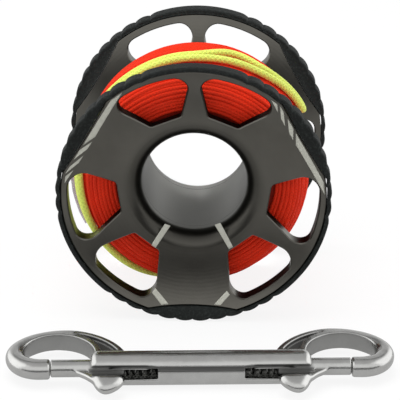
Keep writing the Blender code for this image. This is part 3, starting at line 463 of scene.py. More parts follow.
def join_meshes(name, meshes):
    """Several meshes as one."""
    bm = bmesh.new()
    for mesh in meshes:
        bm.from_mesh(mesh)
        bpy.data.meshes.remove(mesh)
    joined = bpy.data.meshes.new(name)
    bm.to_mesh(joined)
    bm.free()
    return joined


def carved(mesh, cutter_mesh):
    """A mesh with another cut out of it."""
    piece, tool = add_object("carved", mesh), add_object("tool", cutter_mesh)
    cut = piece.modifiers.new("cut", "BOOLEAN")
    cut.operation = "DIFFERENCE"
    cut.solver = "EXACT"
    cut.object = tool
    bpy.context.view_layer.update()
    shaped = bpy.data.meshes.new_from_object(piece.evaluated_get(bpy.context.evaluated_depsgraph_get()))
    for item in (piece, tool):
        bpy.data.objects.remove(item)
    return shaped


# Outlines


def arc_centre(near, far, radius):
    """Centre of an arc of one radius through two (radius, depth) points, on the outer side."""
    near, far = Vector(near), Vector(far)
    chord = far - near
    offset = math.sqrt(radius**2 - (chord.length / 2) ** 2)
    normal = Vector((chord.y, -chord.x)).normalized()
    if normal.y > 0:
        normal = -normal
    return (near + far) / 2 + normal * offset


def arc_points(centre, start, end, steps):
    """Points on the shorter arc from start to end round a centre, both ends included."""
    centre = Vector(centre)
    first, last = Vector(start) - centre, Vector(end) - centre
    begin = math.atan2(first.y, first.x)
    sweep = (math.atan2(last.y, last.x) - begin + math.pi) % (2 * math.pi) - math.pi
    angles = [begin + sweep * step / steps for step in range(steps + 1)]
    return [centre + first.length * Vector((math.cos(angle), math.sin(angle))) for angle in angles]


def rounded_corner(corner, before, after, radius, steps):
    """Points of the fillet between two straight edges that meet at a corner."""
    corner = Vector(corner)
    to_before, to_after = (Vector(before) - corner).normalized(), (Vector(after) - corner).normalized()
    half = to_before.angle(to_after) / 2
    run = radius / math.tan(half)
    centre = corner + (to_before + to_after).normalized() * (radius / math.sin(half))
    return arc_points(centre, corner + to_before * run, corner + to_after * run, steps)


def smooth_row(knots, count):
    """A row of points at even parameter steps on a Catmull-Rom curve through the knots."""
    knots = [Vector(knot) for knot in knots]
    padded = [2 * knots[0] - knots[1]] + knots + [2 * knots[-1] - knots[-2]]
    spans = len(knots) - 1
    row = []
    for index in range(count):
        place = index * spans / (count - 1)
        span = min(int(place), spans - 1)
        t = place - span
        a, b, c, d = padded[span : span + 4]
        curve = 2 * b + (c - a) * t + (2 * a - 5 * b + 4 * c - d) * t**2
        row.append((curve + (3 * b - a - 3 * c + d) * t**3) / 2)
    return row


def grown(outline, offset):
    """A closed outline moved out by an offset, whichever way round it runs."""
    area = sum(a.x * b.y - b.x * a.y for a, b in zip(outline, outline[1:] + outline[:1]))
    hand = 1 if area > 0 else -1
    moved = []
    for index, point in enumerate(outline):
        before, after = outline[index - 1], outline[(index + 1) % len(outline)]
        heading = ((point - before).normalized() + (after - point).normalized()).normalized()
        moved.append(point + hand * offset * Vector((heading.y, -heading.x)))
    return moved


# Shape of the spool


OUTER_FACE = arc_centre((DISH_FOOT_RADIUS, DISH_DEPTH), (SPOOL_RADIUS, 0.0), DISH_RADIUS)
INNER_FACE = arc_centre((DISH_FOOT_RADIUS, DISH_DEPTH + WEB_AT_HUB), (SPOOL_RADIUS, WEB_AT_RIM), DISH_RADIUS)


def between(start, end, steps):
    """The points that cut a straight edge into even steps, without its ends."""
    return [start.lerp(end, step / steps) for step in range(1, steps)]


def face_depth(face, radius):
    """Depth of a dished face behind the rim plane at a radius."""
    return face.y + np.sqrt(DISH_RADIUS**2 - (radius - face.x) ** 2)


def from_zone(angle):
    """Angle to the middle of the nearest thick rubber zone."""
    turned = (angle - FIRST_ZONE_ANGLE) % ZONE_STEP
    return min(turned, ZONE_STEP - turned)


def flange_edge(angle):
    """Radius of the aluminium's outline: a circle, cut by a large hollow arc in each zone."""
    chord = FLANGE_RADIUS * math.sin(CUT_HALF_ANGLE)
    arc_radius = (chord**2 + CUT_HOLLOW**2) / (2 * CUT_HOLLOW)
    centre = CUT_MIDDLE_RADIUS + arc_radius
    along = centre * math.cos(from_zone(angle))
    inside = along**2 - centre**2 + arc_radius**2
    return FLANGE_RADIUS if inside < 0 else min(FLANGE_RADIUS, along - math.sqrt(inside))


def round_axis(angle, radius, along):
    """A point on the spool, along measured from its middle plane."""
    return (radius * math.cos(angle), along, radius * math.sin(angle))


def turned_rows(profile_at, hand, steps):
    """Rows of points round the spool, from the (radius, depth) profile at each angle."""
    rows = []
    for step in range(steps):
        angle = FIRST_ZONE_ANGLE + 2 * math.pi * step / steps
        rows.append([round_axis(angle, p.x, hand * (HALF_WIDTH - p.y)) for p in profile_at(angle)])
    return rows


def dish_fillet(face, foot, radius):
    """The fillet between a cylinder and a dished face: its centre, and its ends on the two."""
    across = foot + radius
    centre = Vector((across, face.y + math.sqrt((DISH_RADIUS + radius) ** 2 - (across - face.x) ** 2)))
    return centre, (foot, centre.y), centre + (face - centre).normalized() * radius


def flange_profile(edge):
    """The turned profile of one flange and its collar, out to one edge radius."""
    centre, foot, touch = dish_fillet(OUTER_FACE, BORE_RADIUS, BORE_MOUTH_FILLET)
    profile = arc_points(centre, foot, touch, 16)
    start, stop = profile[-1].x, edge - EDGE_CHAMFER
    for step in range(1, 13):
        radius = start + (stop - start) * step / 12
        profile.append(Vector((radius, face_depth(OUTER_FACE, radius))))
    profile.append(Vector((edge, face_depth(OUTER_FACE, edge) + EDGE_CHAMFER)))
    centre, foot, touch = dish_fillet(INNER_FACE, HUB_RADIUS, HUB_FILLET)
    for step in range(9):
        radius = edge + (touch.x - edge) * step / 9
        profile.append(Vector((radius, face_depth(INNER_FACE, radius))))
    profile += arc_points(centre, touch, foot, 6)
    profile += [Vector((HUB_RADIUS, COLLAR_END_DEPTH)), Vector((LAP_RADIUS, COLLAR_END_DEPTH))]
    return profile + [Vector((LAP_RADIUS, COLLAR_STEP_DEPTH)), Vector((BORE_RADIUS, COLLAR_STEP_DEPTH))]


def top_corner(foot, way, inward):
    """The large fillet between one straight side and the window's top arc."""
    start = foot + inward * WINDOW_LARGE_CORNER
    reach = WINDOW_TOP_RADIUS - WINDOW_LARGE_CORNER
    along = start.dot(way)
    run = -along + math.sqrt(along**2 - start.length_squared + reach**2)
    centre = start + way * run
    return arc_points(centre, foot + way * run, centre * (WINDOW_TOP_RADIUS / reach), 10)


def window_outline():
    """One window beside a narrow spoke: x across the spoke, y out along it."""
    out = Vector((math.sin(ZONE_STEP / 2), math.cos(ZONE_STEP / 2)))
    side = Vector((-out.y, out.x))
    narrow_foot = Vector((NARROW_SPOKE_HALF, math.sqrt(WINDOW_FOOT_RADIUS**2 - NARROW_SPOKE_HALF**2)))
    wide_foot = out * math.sqrt(WINDOW_FOOT_RADIUS**2 - WIDE_SPOKE_HALF**2) + side * WIDE_SPOKE_HALF
    narrow_way = Vector((-math.sin(NARROW_SPOKE_TAPER), math.cos(NARROW_SPOKE_TAPER)))
    wide_way = out * math.cos(WIDE_SPOKE_TAPER) + side * math.sin(WIDE_SPOKE_TAPER)
    wide_corner = top_corner(wide_foot, wide_way, Vector((-wide_way.y, wide_way.x)))
    narrow_corner = top_corner(narrow_foot, narrow_way, Vector((narrow_way.y, -narrow_way.x)))
    outline = rounded_corner(narrow_foot, narrow_corner[0], wide_foot, WINDOW_SMALL_CORNER, 6)
    foot = rounded_corner(wide_foot, narrow_foot, wide_corner[0], WINDOW_SMALL_CORNER, 6)
    outline += between(outline[-1], foot[0], 5) + foot + between(foot[-1], wide_corner[0], 4) + wide_corner
    outline += arc_points((0.0, 0.0), wide_corner[-1], narrow_corner[-1], 12)[1:-1] + narrow_corner[::-1]
    return outline + between(outline[-1], outline[0], 4)


def window_cutters(hand, chamfer):
    """Six tools through one flange, with a chamfer that follows the dish on both faces."""
    outline = window_outline()
    # How far the outline is grown, the face it follows and how deep behind that face
    levels = (
        (chamfer + CUTTER_OVERRUN, OUTER_FACE, -CUTTER_OVERRUN),
        (chamfer, OUTER_FACE, 0.0),
        (0.0, OUTER_FACE, chamfer),
        (0.0, INNER_FACE, -chamfer),
        (chamfer, INNER_FACE, 0.0),
        (chamfer + CUTTER_OVERRUN, INNER_FACE, CUTTER_OVERRUN),
    )
    tools = []
    for zone in range(3):
        spoke = FIRST_ZONE_ANGLE + ZONE_STEP * (zone + 0.5)
        for side in (-1, 1):
            rows = []
            for growth, face, behind in levels:
                row = []
                for point in grown(outline, growth):
                    angle = spoke + side * math.atan2(point.x, point.y)
                    depth = face_depth(face, point.length)
                    row.append(round_axis(angle, point.length, hand * (HALF_WIDTH - depth - behind)))
                rows.append(row)
            tools.append(outward(lattice("window_tool", rows, capped=True)))
    return join_meshes("window_tools", tools)


def dish_normals(mesh, hand):
    """Gives the two dished faces their true normals, so that the cuts don't ripple them."""
    mesh.shade_smooth()
    mesh.set_sharp_from_angle(angle=SHARP_METAL)
    points = vertex_points(mesh)
    radius = np.hypot(points[:, 0], points[:, 2])
    depth = HALF_WIDTH - hand * points[:, 1]
    corner_vertex = np.zeros(len(mesh.loops), int)
    mesh.loops.foreach_get("vertex_index", corner_vertex)
    totals = np.array([face.loop_total for face in mesh.polygons])
    starts = np.array([face.loop_start for face in mesh.polygons])
    given = np.zeros((len(mesh.loops), 3))
    for face, facing in ((OUTER_FACE, -1), (INNER_FACE, 1)):
        arc = face_depth(face, radius)
        away, back = (radius - face.x) / DISH_RADIUS * facing, (arc - face.y) / DISH_RADIUS * facing
        true = np.stack([away * points[:, 0] / radius, -hand * back, away * points[:, 2] / radius], -1)
        on_face = np.abs(depth - arc) < FACE_TOLERANCE
        corners = np.repeat(np.logical_and.reduceat(on_face[corner_vertex], starts), totals)
        given[corners] = true[corner_vertex[corners]]
    mesh.normals_split_custom_set(given.tolist())


def build_flange(name, hand, looks, material, bore_material):
    """A dished flange with six windows."""
    rows = turned_rows(lambda angle: flange_profile(flange_edge(angle)), hand, FLANGE_STEPS)
    blank = outward(lattice(name, rows, closed_rows=True))
    mesh = carved(blank, window_cutters(hand, looks.window_chamfer))
    mesh.name = name
    dish_normals(mesh, hand)
    finish_piece(name + "_metal", mesh, "spool", material, [name])
    # The bore is reamed after the blasting, so it has the tube's own finish
    mesh.materials.append(bore_material)
    for face in mesh.polygons:
        if math.hypot(face.center.x, face.center.z) < BORE_RADIUS + LAP_FIT / 10:
            face.material_index = 1


def build_hub_tube(material):
    """The tube between the flanges, with a spigot at each end."""
    spigot = LAP_RADIUS - LAP_FIT
    # The lap is drawn closed to a hairline, as it is when the hub is pressed up
    shoulder, end = COLLAR_END_DEPTH + LAP_FIT, COLLAR_STEP_DEPTH + LAP_FIT / 20
    half = (
        (BORE_RADIUS, end + TUBE_EDGE), (BORE_RADIUS + TUBE_EDGE, end), (spigot, end),
        (spigot, shoulder), (HUB_RADIUS, shoulder),
    )
    rows = []
    for step in range(HUB_STEPS):
        angle = 2 * math.pi * step / HUB_STEPS
        front = [round_axis(angle, radius, depth - HALF_WIDTH) for radius, depth in half]
        rear = [round_axis(angle, radius, HALF_WIDTH - depth) for radius, depth in reversed(half)]
        rows.append(front + rear)
    mesh = outward(lattice("hub_tube", rows, closed_rows=True))
    mesh.set_sharp_from_angle(angle=SHARP_TUBE)
    finish_piece("hub_tube_metal", mesh, "spool", material, ["hub_tube"])


def ring_edge(angle, depth):
    """Radius of the rubber: smooth between the zones, and round lumps with narrow notches in them."""
    off = from_zone(angle)
    if off > SCALLOP_PITCH * SCALLOPS_PER_ZONE / 2:
        return SPOOL_RADIUS
    lump = abs(math.sin(math.pi * off / SCALLOP_PITCH)) ** LUMP_SQUARENESS
    return SPOOL_RADIUS - depth * (1 - lump)


def ring_profile(angle, scallop_depth):
    """The section of a grip ring at one angle, with rounded shoulders and a flat land."""
    rest = face_depth(OUTER_FACE, SPOOL_RADIUS - RING_CORNER)
    back = face_depth(INNER_FACE, SPOOL_RADIUS - RING_CORNER)
    inner = flange_edge(angle) + RING_FIT
    outer = ring_edge(angle, scallop_depth)
    shoulder = outer - RING_CORNER
    foot, land = Vector((inner, face_depth(OUTER_FACE, inner))), Vector((shoulder - RING_LAND, rest))
    profile = [foot, foot.lerp(land, 0.5), land]
    profile += arc_points((shoulder, rest + RING_CORNER), (shoulder, rest), (outer, rest + RING_CORNER), 6)
    for share in (0.25, 0.5, 0.75):
        profile.append(Vector((outer, rest + RING_CORNER + (back - rest - 2 * RING_CORNER) * share)))
    profile += arc_points((shoulder, back - RING_CORNER), (outer, back - RING_CORNER), (shoulder, back), 6)
    return profile + [Vector((inner, face_depth(INNER_FACE, inner)))]


def build_ring(name, hand, looks, material):
    """One rubber grip ring with a scalloped crown."""
    rows = turned_rows(lambda angle: ring_profile(angle, looks.scallop_depth), hand, RING_STEPS)
    mesh = outward(lattice(name, rows, closed_rows=True))
    mesh.set_sharp_from_angle(angle=SHARP_RUBBER)
    finish_piece(name + "_rubber", mesh, "spool", material, [name])


# Shape of the wound line


def wound_point(turn, inset):
    """A (radius, along) point of the winding's profile, where turn runs from 0 in front to 1 at the rear."""
    sweep = math.pi * turn
    power = 2 / WOUND_SQUARENESS
    rise = max(math.sin(sweep), 0.0) ** power
    radius = WOUND_FOOT_RADIUS + (WOUND_RADIUS - inset - WOUND_FOOT_RADIUS) * rise
    room = HALF_WIDTH - face_depth(INNER_FACE, radius) - WOUND_CLEARANCE - inset
    return radius, (-1 if turn < 0.5 else 1) * room * abs(math.cos(sweep)) ** power


def even_profile(inset, count):
    """Profile points at even distances along the winding's profile, foot to foot."""
    fine = np.array([wound_point(step / 4000, inset) for step in range(4001)])
    travelled = np.concatenate([[0.0], np.cumsum(np.linalg.norm(np.diff(fine, axis=0), axis=1))])
    goals = np.linspace(0.0, travelled[-1], count + 1)
    return np.stack([np.interp(goals, travelled, fine[:, axis]) for axis in (0, 1)], -1)


def surface_radius(along):
    """Radius of the winding's surface at a distance from its middle plane."""
    low, high = 0.0, 0.5
    for _ in range(40):
        half = (low + high) / 2
        if -wound_point(half, 0.0)[1] > abs(along):
            low = half
        else:
            high = half
    return wound_point(high, 0.0)[0]


def slow_wave(seed, length, reach):
    """A seeded row of slow, smooth ups and downs, from -1 to 1."""
    picks = random.Random(seed)
    phases = [(picks.uniform(0, 2 * math.pi), picks.uniform(0.6, 1.4)) for _ in range(5)]
    steps = np.arange(length)
    return sum(
        np.sin(2 * math.pi * steps * rate * (order + 1) / reach + phase) / (order + 1)
        for order, (phase, rate) in enumerate(phases)
    ) / 2


def angled(angle, radius, along):
    """Rows of points and outward directions round the spool."""
    out = np.stack([np.cos(angle), np.zeros_like(angle), np.sin(angle)], -1)
    points = out * np.broadcast_to(radius, angle.shape)[:, None]
    points[:, 1] = along
    return points, out


def build_wound_line(looks, material, core_material):
    """The outer layer of line, a few turns laid askew on it, and the bulk beneath."""
    thick = looks.strand
    steps = looks.turns * TURN_STEPS
    profile = even_profile(thick / 2, steps)
    slope = np.gradient(profile, axis=0)
    slope /= np.linalg.norm(slope, axis=1)[:, None]
    angle = 2 * math.pi * np.arange(steps + 1) / TURN_STEPS
    drift = slow_wave(3, steps + 1, TURN_STEPS * TURN_DRIFT_REACH) * TURN_DRIFT
    sink = (slow_wave(4, steps + 1, TURN_STEPS * TURN_SINK_REACH) - 1) * TURN_SINK
    radius = profile[:, 0] + slope[:, 0] * drift + sink
    points, out = angled(angle, radius, profile[:, 1] + slope[:, 1] * drift)
    # Outward from the profile itself, so that the strand's seam stays underneath
    facing = out * slope[:, 1:2] + np.stack([np.zeros(steps + 1), -slope[:, 0], np.zeros(steps + 1)], -1)
    meshes = [tube("layer", points, facing, thick / 2, 8)]
    picks = random.Random(11)
    for index in range(looks.strays):
        start = picks.uniform(0, 2 * math.pi)
        sweep = picks.uniform(*STRAY_SWEEPS)
        count = int(TURN_STEPS * sweep / (2 * math.pi))
        share = np.linspace(0.0, 1.0, count)
        from_middle = picks.uniform(-STRAY_SPREAD, STRAY_SPREAD)
        run = picks.uniform(-STRAY_RUN, STRAY_RUN)
        wobble = slow_wave(40 + index, count, STRAY_WOBBLE_STEPS) * STRAY_WOBBLE
        along = from_middle + run * (3 * share**2 - 2 * share**3) + wobble
        along = np.clip(along, -STRAY_LIMIT, STRAY_LIMIT)
        # Each stray turn dives under the layer over the last ninth at both ends
        depth = np.interp(np.minimum(share, 1 - share), (0.0, 1 / 9), STRAY_DEPTHS)
        radius = np.array([surface_radius(place) for place in along]) - thick * depth
        points, out = angled(start + sweep * share, radius, along)
        meshes.append(tube("stray", points, out, thick / 2, 8))
    mesh = join_meshes("wound_line", meshes)
    piece = finish_piece("wound_line", mesh, "spool", material, ["line_turns"])
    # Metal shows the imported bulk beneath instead, which keeps the steel neutral
    piece.visible_glossy = False

    inner = even_profile(thick * CORE_DEPTH, CORE_STEPS)
    seat = HUB_RADIUS + CORE_FIT
    outline = [(seat, inner[0, 1])] + [tuple(row) for row in inner] + [(seat, inner[-1, 1])]
    turns = [2 * math.pi * step / TURN_STEPS for step in range(TURN_STEPS)]
    rows = [[round_axis(turn, radius, place) for radius, place in outline] for turn in turns]
    core = outward(lattice("wound_core", rows, closed_rows=True))
    finish_piece("wound_core", core, "spool", core_material, ["line_core"])


def leader_strands(lift):
    """The two strands of the leader, as rows of points at a height off the line."""
    knots = [(math.radians(turn), along * MM, apart * MM) for turn, along, apart in LEADER_ROUTE]
    route = smooth_row(knots, 150)
    front, rear = [], []
    for index, here in enumerate(route):
        before, after = route[max(index - 1, 0)], route[min(index + 1, len(route) - 1)]
        heading = Vector(((after.x - before.x) * WOUND_RADIUS, after.y - before.y)).normalized()
        for side, hand in ((front, -1), (rear, 1)):
            angle = here.x - hand * heading.y * here.z / WOUND_RADIUS
            along = here.y + hand * heading.x * here.z
            side.append(Vector(round_axis(angle, surface_radius(along) + lift, along)))
    return front, rear


def hairpin(arriving, leaving, steps=10):
    """The bend that turns the end of one strand into the end of the other."""
    start, end = arriving[-1], leaving[-1]
    middle_point = (start + end) / 2
    radius = (start - middle_point).length
    ahead, side = (arriving[-1] - arriving[-2]).normalized(), (start - middle_point).normalized()
    angles = [math.pi * step / (steps + 1) for step in range(1, steps + 1)]
    return [middle_point + radius * (side * math.cos(angle) + ahead * math.sin(angle)) for angle in angles]


def build_leader(looks, material):
    """The yellow leader: one closed loop of braided cord laid double over the winding."""
    front, rear = leader_strands(LEADER_LIFT + looks.leader / 2)
    loop = front + hairpin(front, rear) + rear[::-1] + hairpin(rear[::-1], front[::-1])
    points = np.array([tuple(point) for point in loop])
    out = points * np.array([1.0, 0.0, 1.0])
    out /= np.linalg.norm(out, axis=1)[:, None]
    mesh = tube("leader_cord", points, out, looks.leader / 2, 16, closed=True)
    finish_piece("leader_cord", mesh, "spool", material, ["leader"])


def build_line_end(sleeve_material, line_material):
    """The clear sleeve, and in it the line's own end with its wrapped stopper knot."""
    centre = surface_radius(SLEEVE_FROM_MIDDLE) + LEADER_LIFT + SLEEVE_DIAMETER / 2
    axis = np.array([0.0, 1.0, 0.0])
    angle = np.linspace(SLEEVE_START, SLEEVE_END, SLEEVE_STEPS)
    points, out = angled(angle, centre, SLEEVE_FROM_MIDDLE)
    swell = 1 + SLEEVE_SWELL * slow_wave(21, SLEEVE_STEPS, 20)
    turn = (2 * math.pi * np.arange(24) / 24)[:, None]
    rows = []
    for radius, order in ((SLEEVE_DIAMETER / 2, 1), (SLEEVE_DIAMETER / 2 - SLEEVE_WALL, -1)):
        for place, facing, grow in zip(points[::order], out[::order], swell[::order]):
            rows.append(place + radius * grow * (facing * np.cos(turn) + axis * np.sin(turn)))
    sleeve = outward(lattice("sleeve", rows, closed_rows=True))
    finish_piece("sleeve", sleeve, "spool", sleeve_material, ["line_sleeve"])

    knot_sweep = KNOT_LENGTH / centre
    angle = np.linspace(SLEEVE_START, SLEEVE_END - 0.3 * knot_sweep, 60)
    points, out = angled(angle, centre, SLEEVE_FROM_MIDDLE)
    tail = tube("line_tail", points, out, TAIL_DIAMETER / 2, 10)
    # The same line wraps round its own tail
    share = np.linspace(0.0, 1.0, KNOT_WRAPS * 24 + 1)
    wrap_angle = SLEEVE_END - 2 * knot_sweep + knot_sweep * share
    wrap_turn = (2 * math.pi * KNOT_WRAPS * share)[:, None]
    base, out = angled(wrap_angle, centre, SLEEVE_FROM_MIDDLE)
    round_tail = out * np.cos(wrap_turn) + axis * np.sin(wrap_turn)
    wraps = tube("wraps", base + round_tail * WRAP_REACH, round_tail, WRAP_RADIUS, 8)
    mesh = join_meshes("line_end", [tail, wraps])
    finish_piece("line_end", mesh, "spool", line_material, ["line_end_knot"])


def ink_patch(corners):
    """A thin printed patch on the front dish, from four corners right and up from the axis."""
    a, b, c, d = (Vector(corner) * MM for corner in corners)
    rows = []
    for lift in (INK_LIFT, -INK_LIFT):
        for index in range(13):
            share = index / 12 if lift > 0 else 1 - index / 12
            row = []
            for step in range(7):
                point = a.lerp(d, share).lerp(b.lerp(c, share), step / 6)
                depth = face_depth(OUTER_FACE, point.length) - lift
                row.append((point.x, depth - HALF_WIDTH, point.y))
            rows.append(row)
    return outward(lattice("ink", rows, closed_rows=True, closed_ring=False), filled=True)


def build_stripes(material):
    """Plain stripes printed on the front flange's two upper zones and below its bore."""
    patches = [ink_patch(corners) for corners in FACE_BARS]
    for zone in STRIPE_ZONES:
        middle_angle = FIRST_ZONE_ANGLE + ZONE_STEP * zone
        out = Vector((math.cos(middle_angle), math.sin(middle_angle)))
        round_way = Vector((-out.y, out.x))
        for stripe in ZONE_STRIPES:
            patches.append(ink_patch([tuple(round_way * u + out * v) for u, v in stripe]))
    mesh = join_meshes("printed_stripes", patches)
    finish_piece("printed_stripes", mesh, "spool", material)


# Cast pieces: each is a field of distances to its surface, then skinned with even quads


def grid_axes(low, high, step):
    """The three axes of an even grid between two corners."""
    return [np.arange(a, b + step, step, dtype=np.float32) for a, b in zip(low, high)]


def outline_distance(outline, x, y):
    """Distance from each upright line of a grid to a closed outline, negative inside."""
    px, py = np.meshgrid(x, y, indexing="ij")
    least = np.full(px.shape, np.inf, np.float32)
    inside = np.zeros(px.shape, bool)
    for a, b in zip(outline, outline[1:] + outline[:1]):
        ex, ey = b.x - a.x, b.y - a.y
        t = np.clip(((px - a.x) * ex + (py - a.y) * ey) / max(ex * ex + ey * ey, 1e-18), 0, 1)
        least = np.minimum(least, (px - a.x - t * ex) ** 2 + (py - a.y - t * ey) ** 2)
        if a.y != b.y:
            inside ^= ((a.y > py) != (b.y > py)) & (px < (b.x - a.x) * (py - a.y) / (b.y - a.y) + a.x)
    return (np.sqrt(least) * np.where(inside, -1, 1))[:, :, None]


def plate_field(flat, height, rounding):
    """A plate with rounded edges, from its flat distances and the height above its face."""
    a, b = flat + rounding, height + rounding
    return np.minimum(np.maximum(a, b), 0) + np.hypot(np.maximum(a, 0), np.maximum(b, 0)) - rounding


def common(*fields):
    """What several forms have in common."""
    return functools.reduce(np.maximum, fields)


def blend_out(a, b, fillet):
    """Two forms joined with a fillet."""
    mix = np.clip(fillet - np.abs(a - b), 0, None) / fillet
    return np.minimum(a, b) - mix * mix * fillet / 4


def cut_out(a, b, rounding):
    """One form with another cut from it, its edges a little rounded."""
    return -blend_out(-a, b, rounding)


def skin(name, field, low, step):
    """The zero surface of a field as an even quad mesh, with normals from the field itself."""
    inside = field < 0
    count = np.zeros(tuple(n - 1 for n in field.shape), np.int8)
    shape = count.shape
    corners = [np.array(corner) for corner in np.ndindex(2, 2, 2)]
    for i, j, k in corners:
        count += inside[i : i + shape[0], j : j + shape[1], k : k + shape[2]]
    # Each cell that the surface crosses gets a point, the mean of the crossings on its edges
    cells = np.argwhere((count > 0) & (count < 8))
    total = np.zeros((len(cells), 3))
    crossings = np.zeros(len(cells))
    for start in corners:
        for axis in np.flatnonzero(start == 0):
            end = start + np.eye(3, dtype=int)[axis]
            one, two = field[tuple((cells + start).T)], field[tuple((cells + end).T)]
            crossed = (one < 0) != (two < 0)
            share = one[crossed] / (one[crossed] - two[crossed])
            total[crossed] += start + (end - start) * share[:, None]
            crossings[crossed] += 1
    points = cells + total / crossings[:, None]
    number = np.full(shape, -1, np.int64)
    number[tuple(cells.T)] = np.arange(len(cells))
    # Each grid edge that the surface crosses gets a face between the four cells round it
    faces = []
    for axis in range(3):
        change = inside != np.roll(inside, -1, axis)
        cut = [slice(1, -1)] * 3
        cut[axis] = slice(0, -1)
        mask = np.zeros_like(change)
        mask[tuple(cut)] = change[tuple(cut)]
        edges = np.argwhere(mask)
        around = []
        for b, c in ((-1, -1), (0, -1), (0, 0), (-1, 0)):
            cell = edges.copy()
            cell[:, (axis + 1) % 3] += b
            cell[:, (axis + 2) % 3] += c
            around.append(number[tuple(cell.T)])
        quads = np.stack(around, -1)
        entering = ~inside[tuple(edges.T)]
        quads[entering] = quads[entering][:, ::-1]
        faces.append(quads)
    mesh = bpy.data.meshes.new(name)
    mesh.from_pydata((np.asarray(low) + step * points).tolist(), [], np.concatenate(faces).tolist())
    slopes = np.stack([sampled(part, points) for part in np.gradient(field)], -1)
    slopes /= np.maximum(np.linalg.norm(slopes, axis=1), 1e-9)[:, None]
    mesh.shade_smooth()
    mesh.normals_split_custom_set_from_vertices(slopes.tolist())
    return mesh


def sampled(values, points):
    """Values of a grid at points between its own."""
    base = np.floor(points).astype(int)
    rest = points - base
    result = np.zeros(len(points))
    for corner in np.ndindex(2, 2, 2):
        share = np.where(corner, rest, 1 - rest).prod(axis=1)
        spot = np.minimum(base + corner, np.array(values.shape) - 1)
        result += share * values[tuple(spot.T)]
    return result


def smooth_share(value, start, end):
    """0 before start, 1 after end, and an even rise between them."""
    t = np.clip((value - start) / (end - start), 0, 1)
    return t * t * (3 - 2 * t)


BACK_CENTRE = Vector((HOOK_CREST, HOOK_TOP - HOOK_BACK_RADIUS))
END_RADIUS = (CREST_FROM_END - HOOK_HEEL_RADIUS) / math.cos(HOOK_HEEL_ANGLE) + HOOK_HEEL_RADIUS
END_CENTRE = Vector((HOOK_CREST, HOOK_TOP - END_RADIUS))
ROOT_RADIUS = HOOK_CREST - EYE_ROOT
ROOT_CENTRE = Vector((HOOK_CREST, EYE_TOP - ROOT_RADIUS))
EYE_RADIUS = (EYE_END - HOOK_CREST - EYE_HEEL_RADIUS) / math.cos(EYE_HEEL_ANGLE) + EYE_HEEL_RADIUS
EYE_CENTRE = Vector((HOOK_CREST, EYE_TOP - EYE_RADIUS))


def polar(centre, radius, angle):
    """A point of a circle in plan."""
    return centre + radius * Vector((math.cos(angle), math.sin(angle)))


def cross_height(centre, radius, y):
    """The point, on the side toward the barrel, where a circle crosses a height in plan."""
    return Vector((centre.x - math.sqrt(radius**2 - (y - centre.y) ** 2), y))


def hook_outlines():
    """The hook's outer outline, its eye, and the eye with its gate shut, in plan, at the right end."""
    root = BARREL_RADIUS / 2
    crest, eye_crest = Vector((HOOK_CREST, HOOK_TOP)), Vector((HOOK_CREST, EYE_TOP))
    heel_start = polar(END_CENTRE, END_RADIUS, HOOK_HEEL_ANGLE)
    heel = polar(END_CENTRE, END_RADIUS - HOOK_HEEL_RADIUS, HOOK_HEEL_ANGLE)
    outline = arc_points(BACK_CENTRE, cross_height(BACK_CENTRE, HOOK_BACK_RADIUS, root), crest, 24)
    outline += arc_points(END_CENTRE, crest, heel_start, 16)[1:]
    outline += arc_points(heel, heel_start, polar(heel, HOOK_HEEL_RADIUS, -math.pi / 2), 20)[1:]
    outline.append(Vector((EYE_ROOT, -NOSE_HALF_WIDTH)))
    eye_start = polar(EYE_CENTRE, EYE_RADIUS, EYE_HEEL_ANGLE)
    eye_heel = polar(EYE_CENTRE, EYE_RADIUS - EYE_HEEL_RADIUS, EYE_HEEL_ANGLE)
    eye_floor = polar(eye_heel, EYE_HEEL_RADIUS, -math.pi / 2)
    eye = arc_points(eye_heel, eye_floor, eye_start, 16)
    eye += arc_points(EYE_CENTRE, eye_start, eye_crest, 14)[1:]
    eye += arc_points(ROOT_CENTRE, eye_crest, polar(ROOT_CENTRE, ROOT_RADIUS, math.pi), 20)[1:]
    eye.append(Vector((EYE_ROOT, root)))
    gate = ((EYE_ROOT, -BARREL_RADIUS), (NOSE_TIP, -BARREL_RADIUS), (NOSE_TIP, eye_floor.y))
    return outline, eye + [Vector(corner) for corner in gate], eye + [Vector((EYE_ROOT, eye_floor.y))]


def pocket_outline():
    """The triangular recess in a gusset, inside even borders."""
    low = BARREL_RADIUS + GUSSET_BORDER / 2
    back, eye = HOOK_BACK_RADIUS - GUSSET_BORDER, ROOT_RADIUS + GUSSET_BORDER
    drop = ROOT_CENTRE.y - BACK_CENTRE.y
    top = ROOT_CENTRE.y + (back**2 - eye**2 - drop**2) / (2 * drop)
    apex = cross_height(ROOT_CENTRE, eye, top)
    outline = arc_points(BACK_CENTRE, cross_height(BACK_CENTRE, back, low), apex, 12)
    return outline + arc_points(ROOT_CENTRE, apex, cross_height(ROOT_CENTRE, eye, low), 12)[1:]


def mark_dull_and_shaded(mesh, share):
    """Notes on a mesh's points how much dull skin and painted shade they get."""
    mesh.attributes.new("dull_and_shaded", "FLOAT", "POINT").data.foreach_set("value", share)


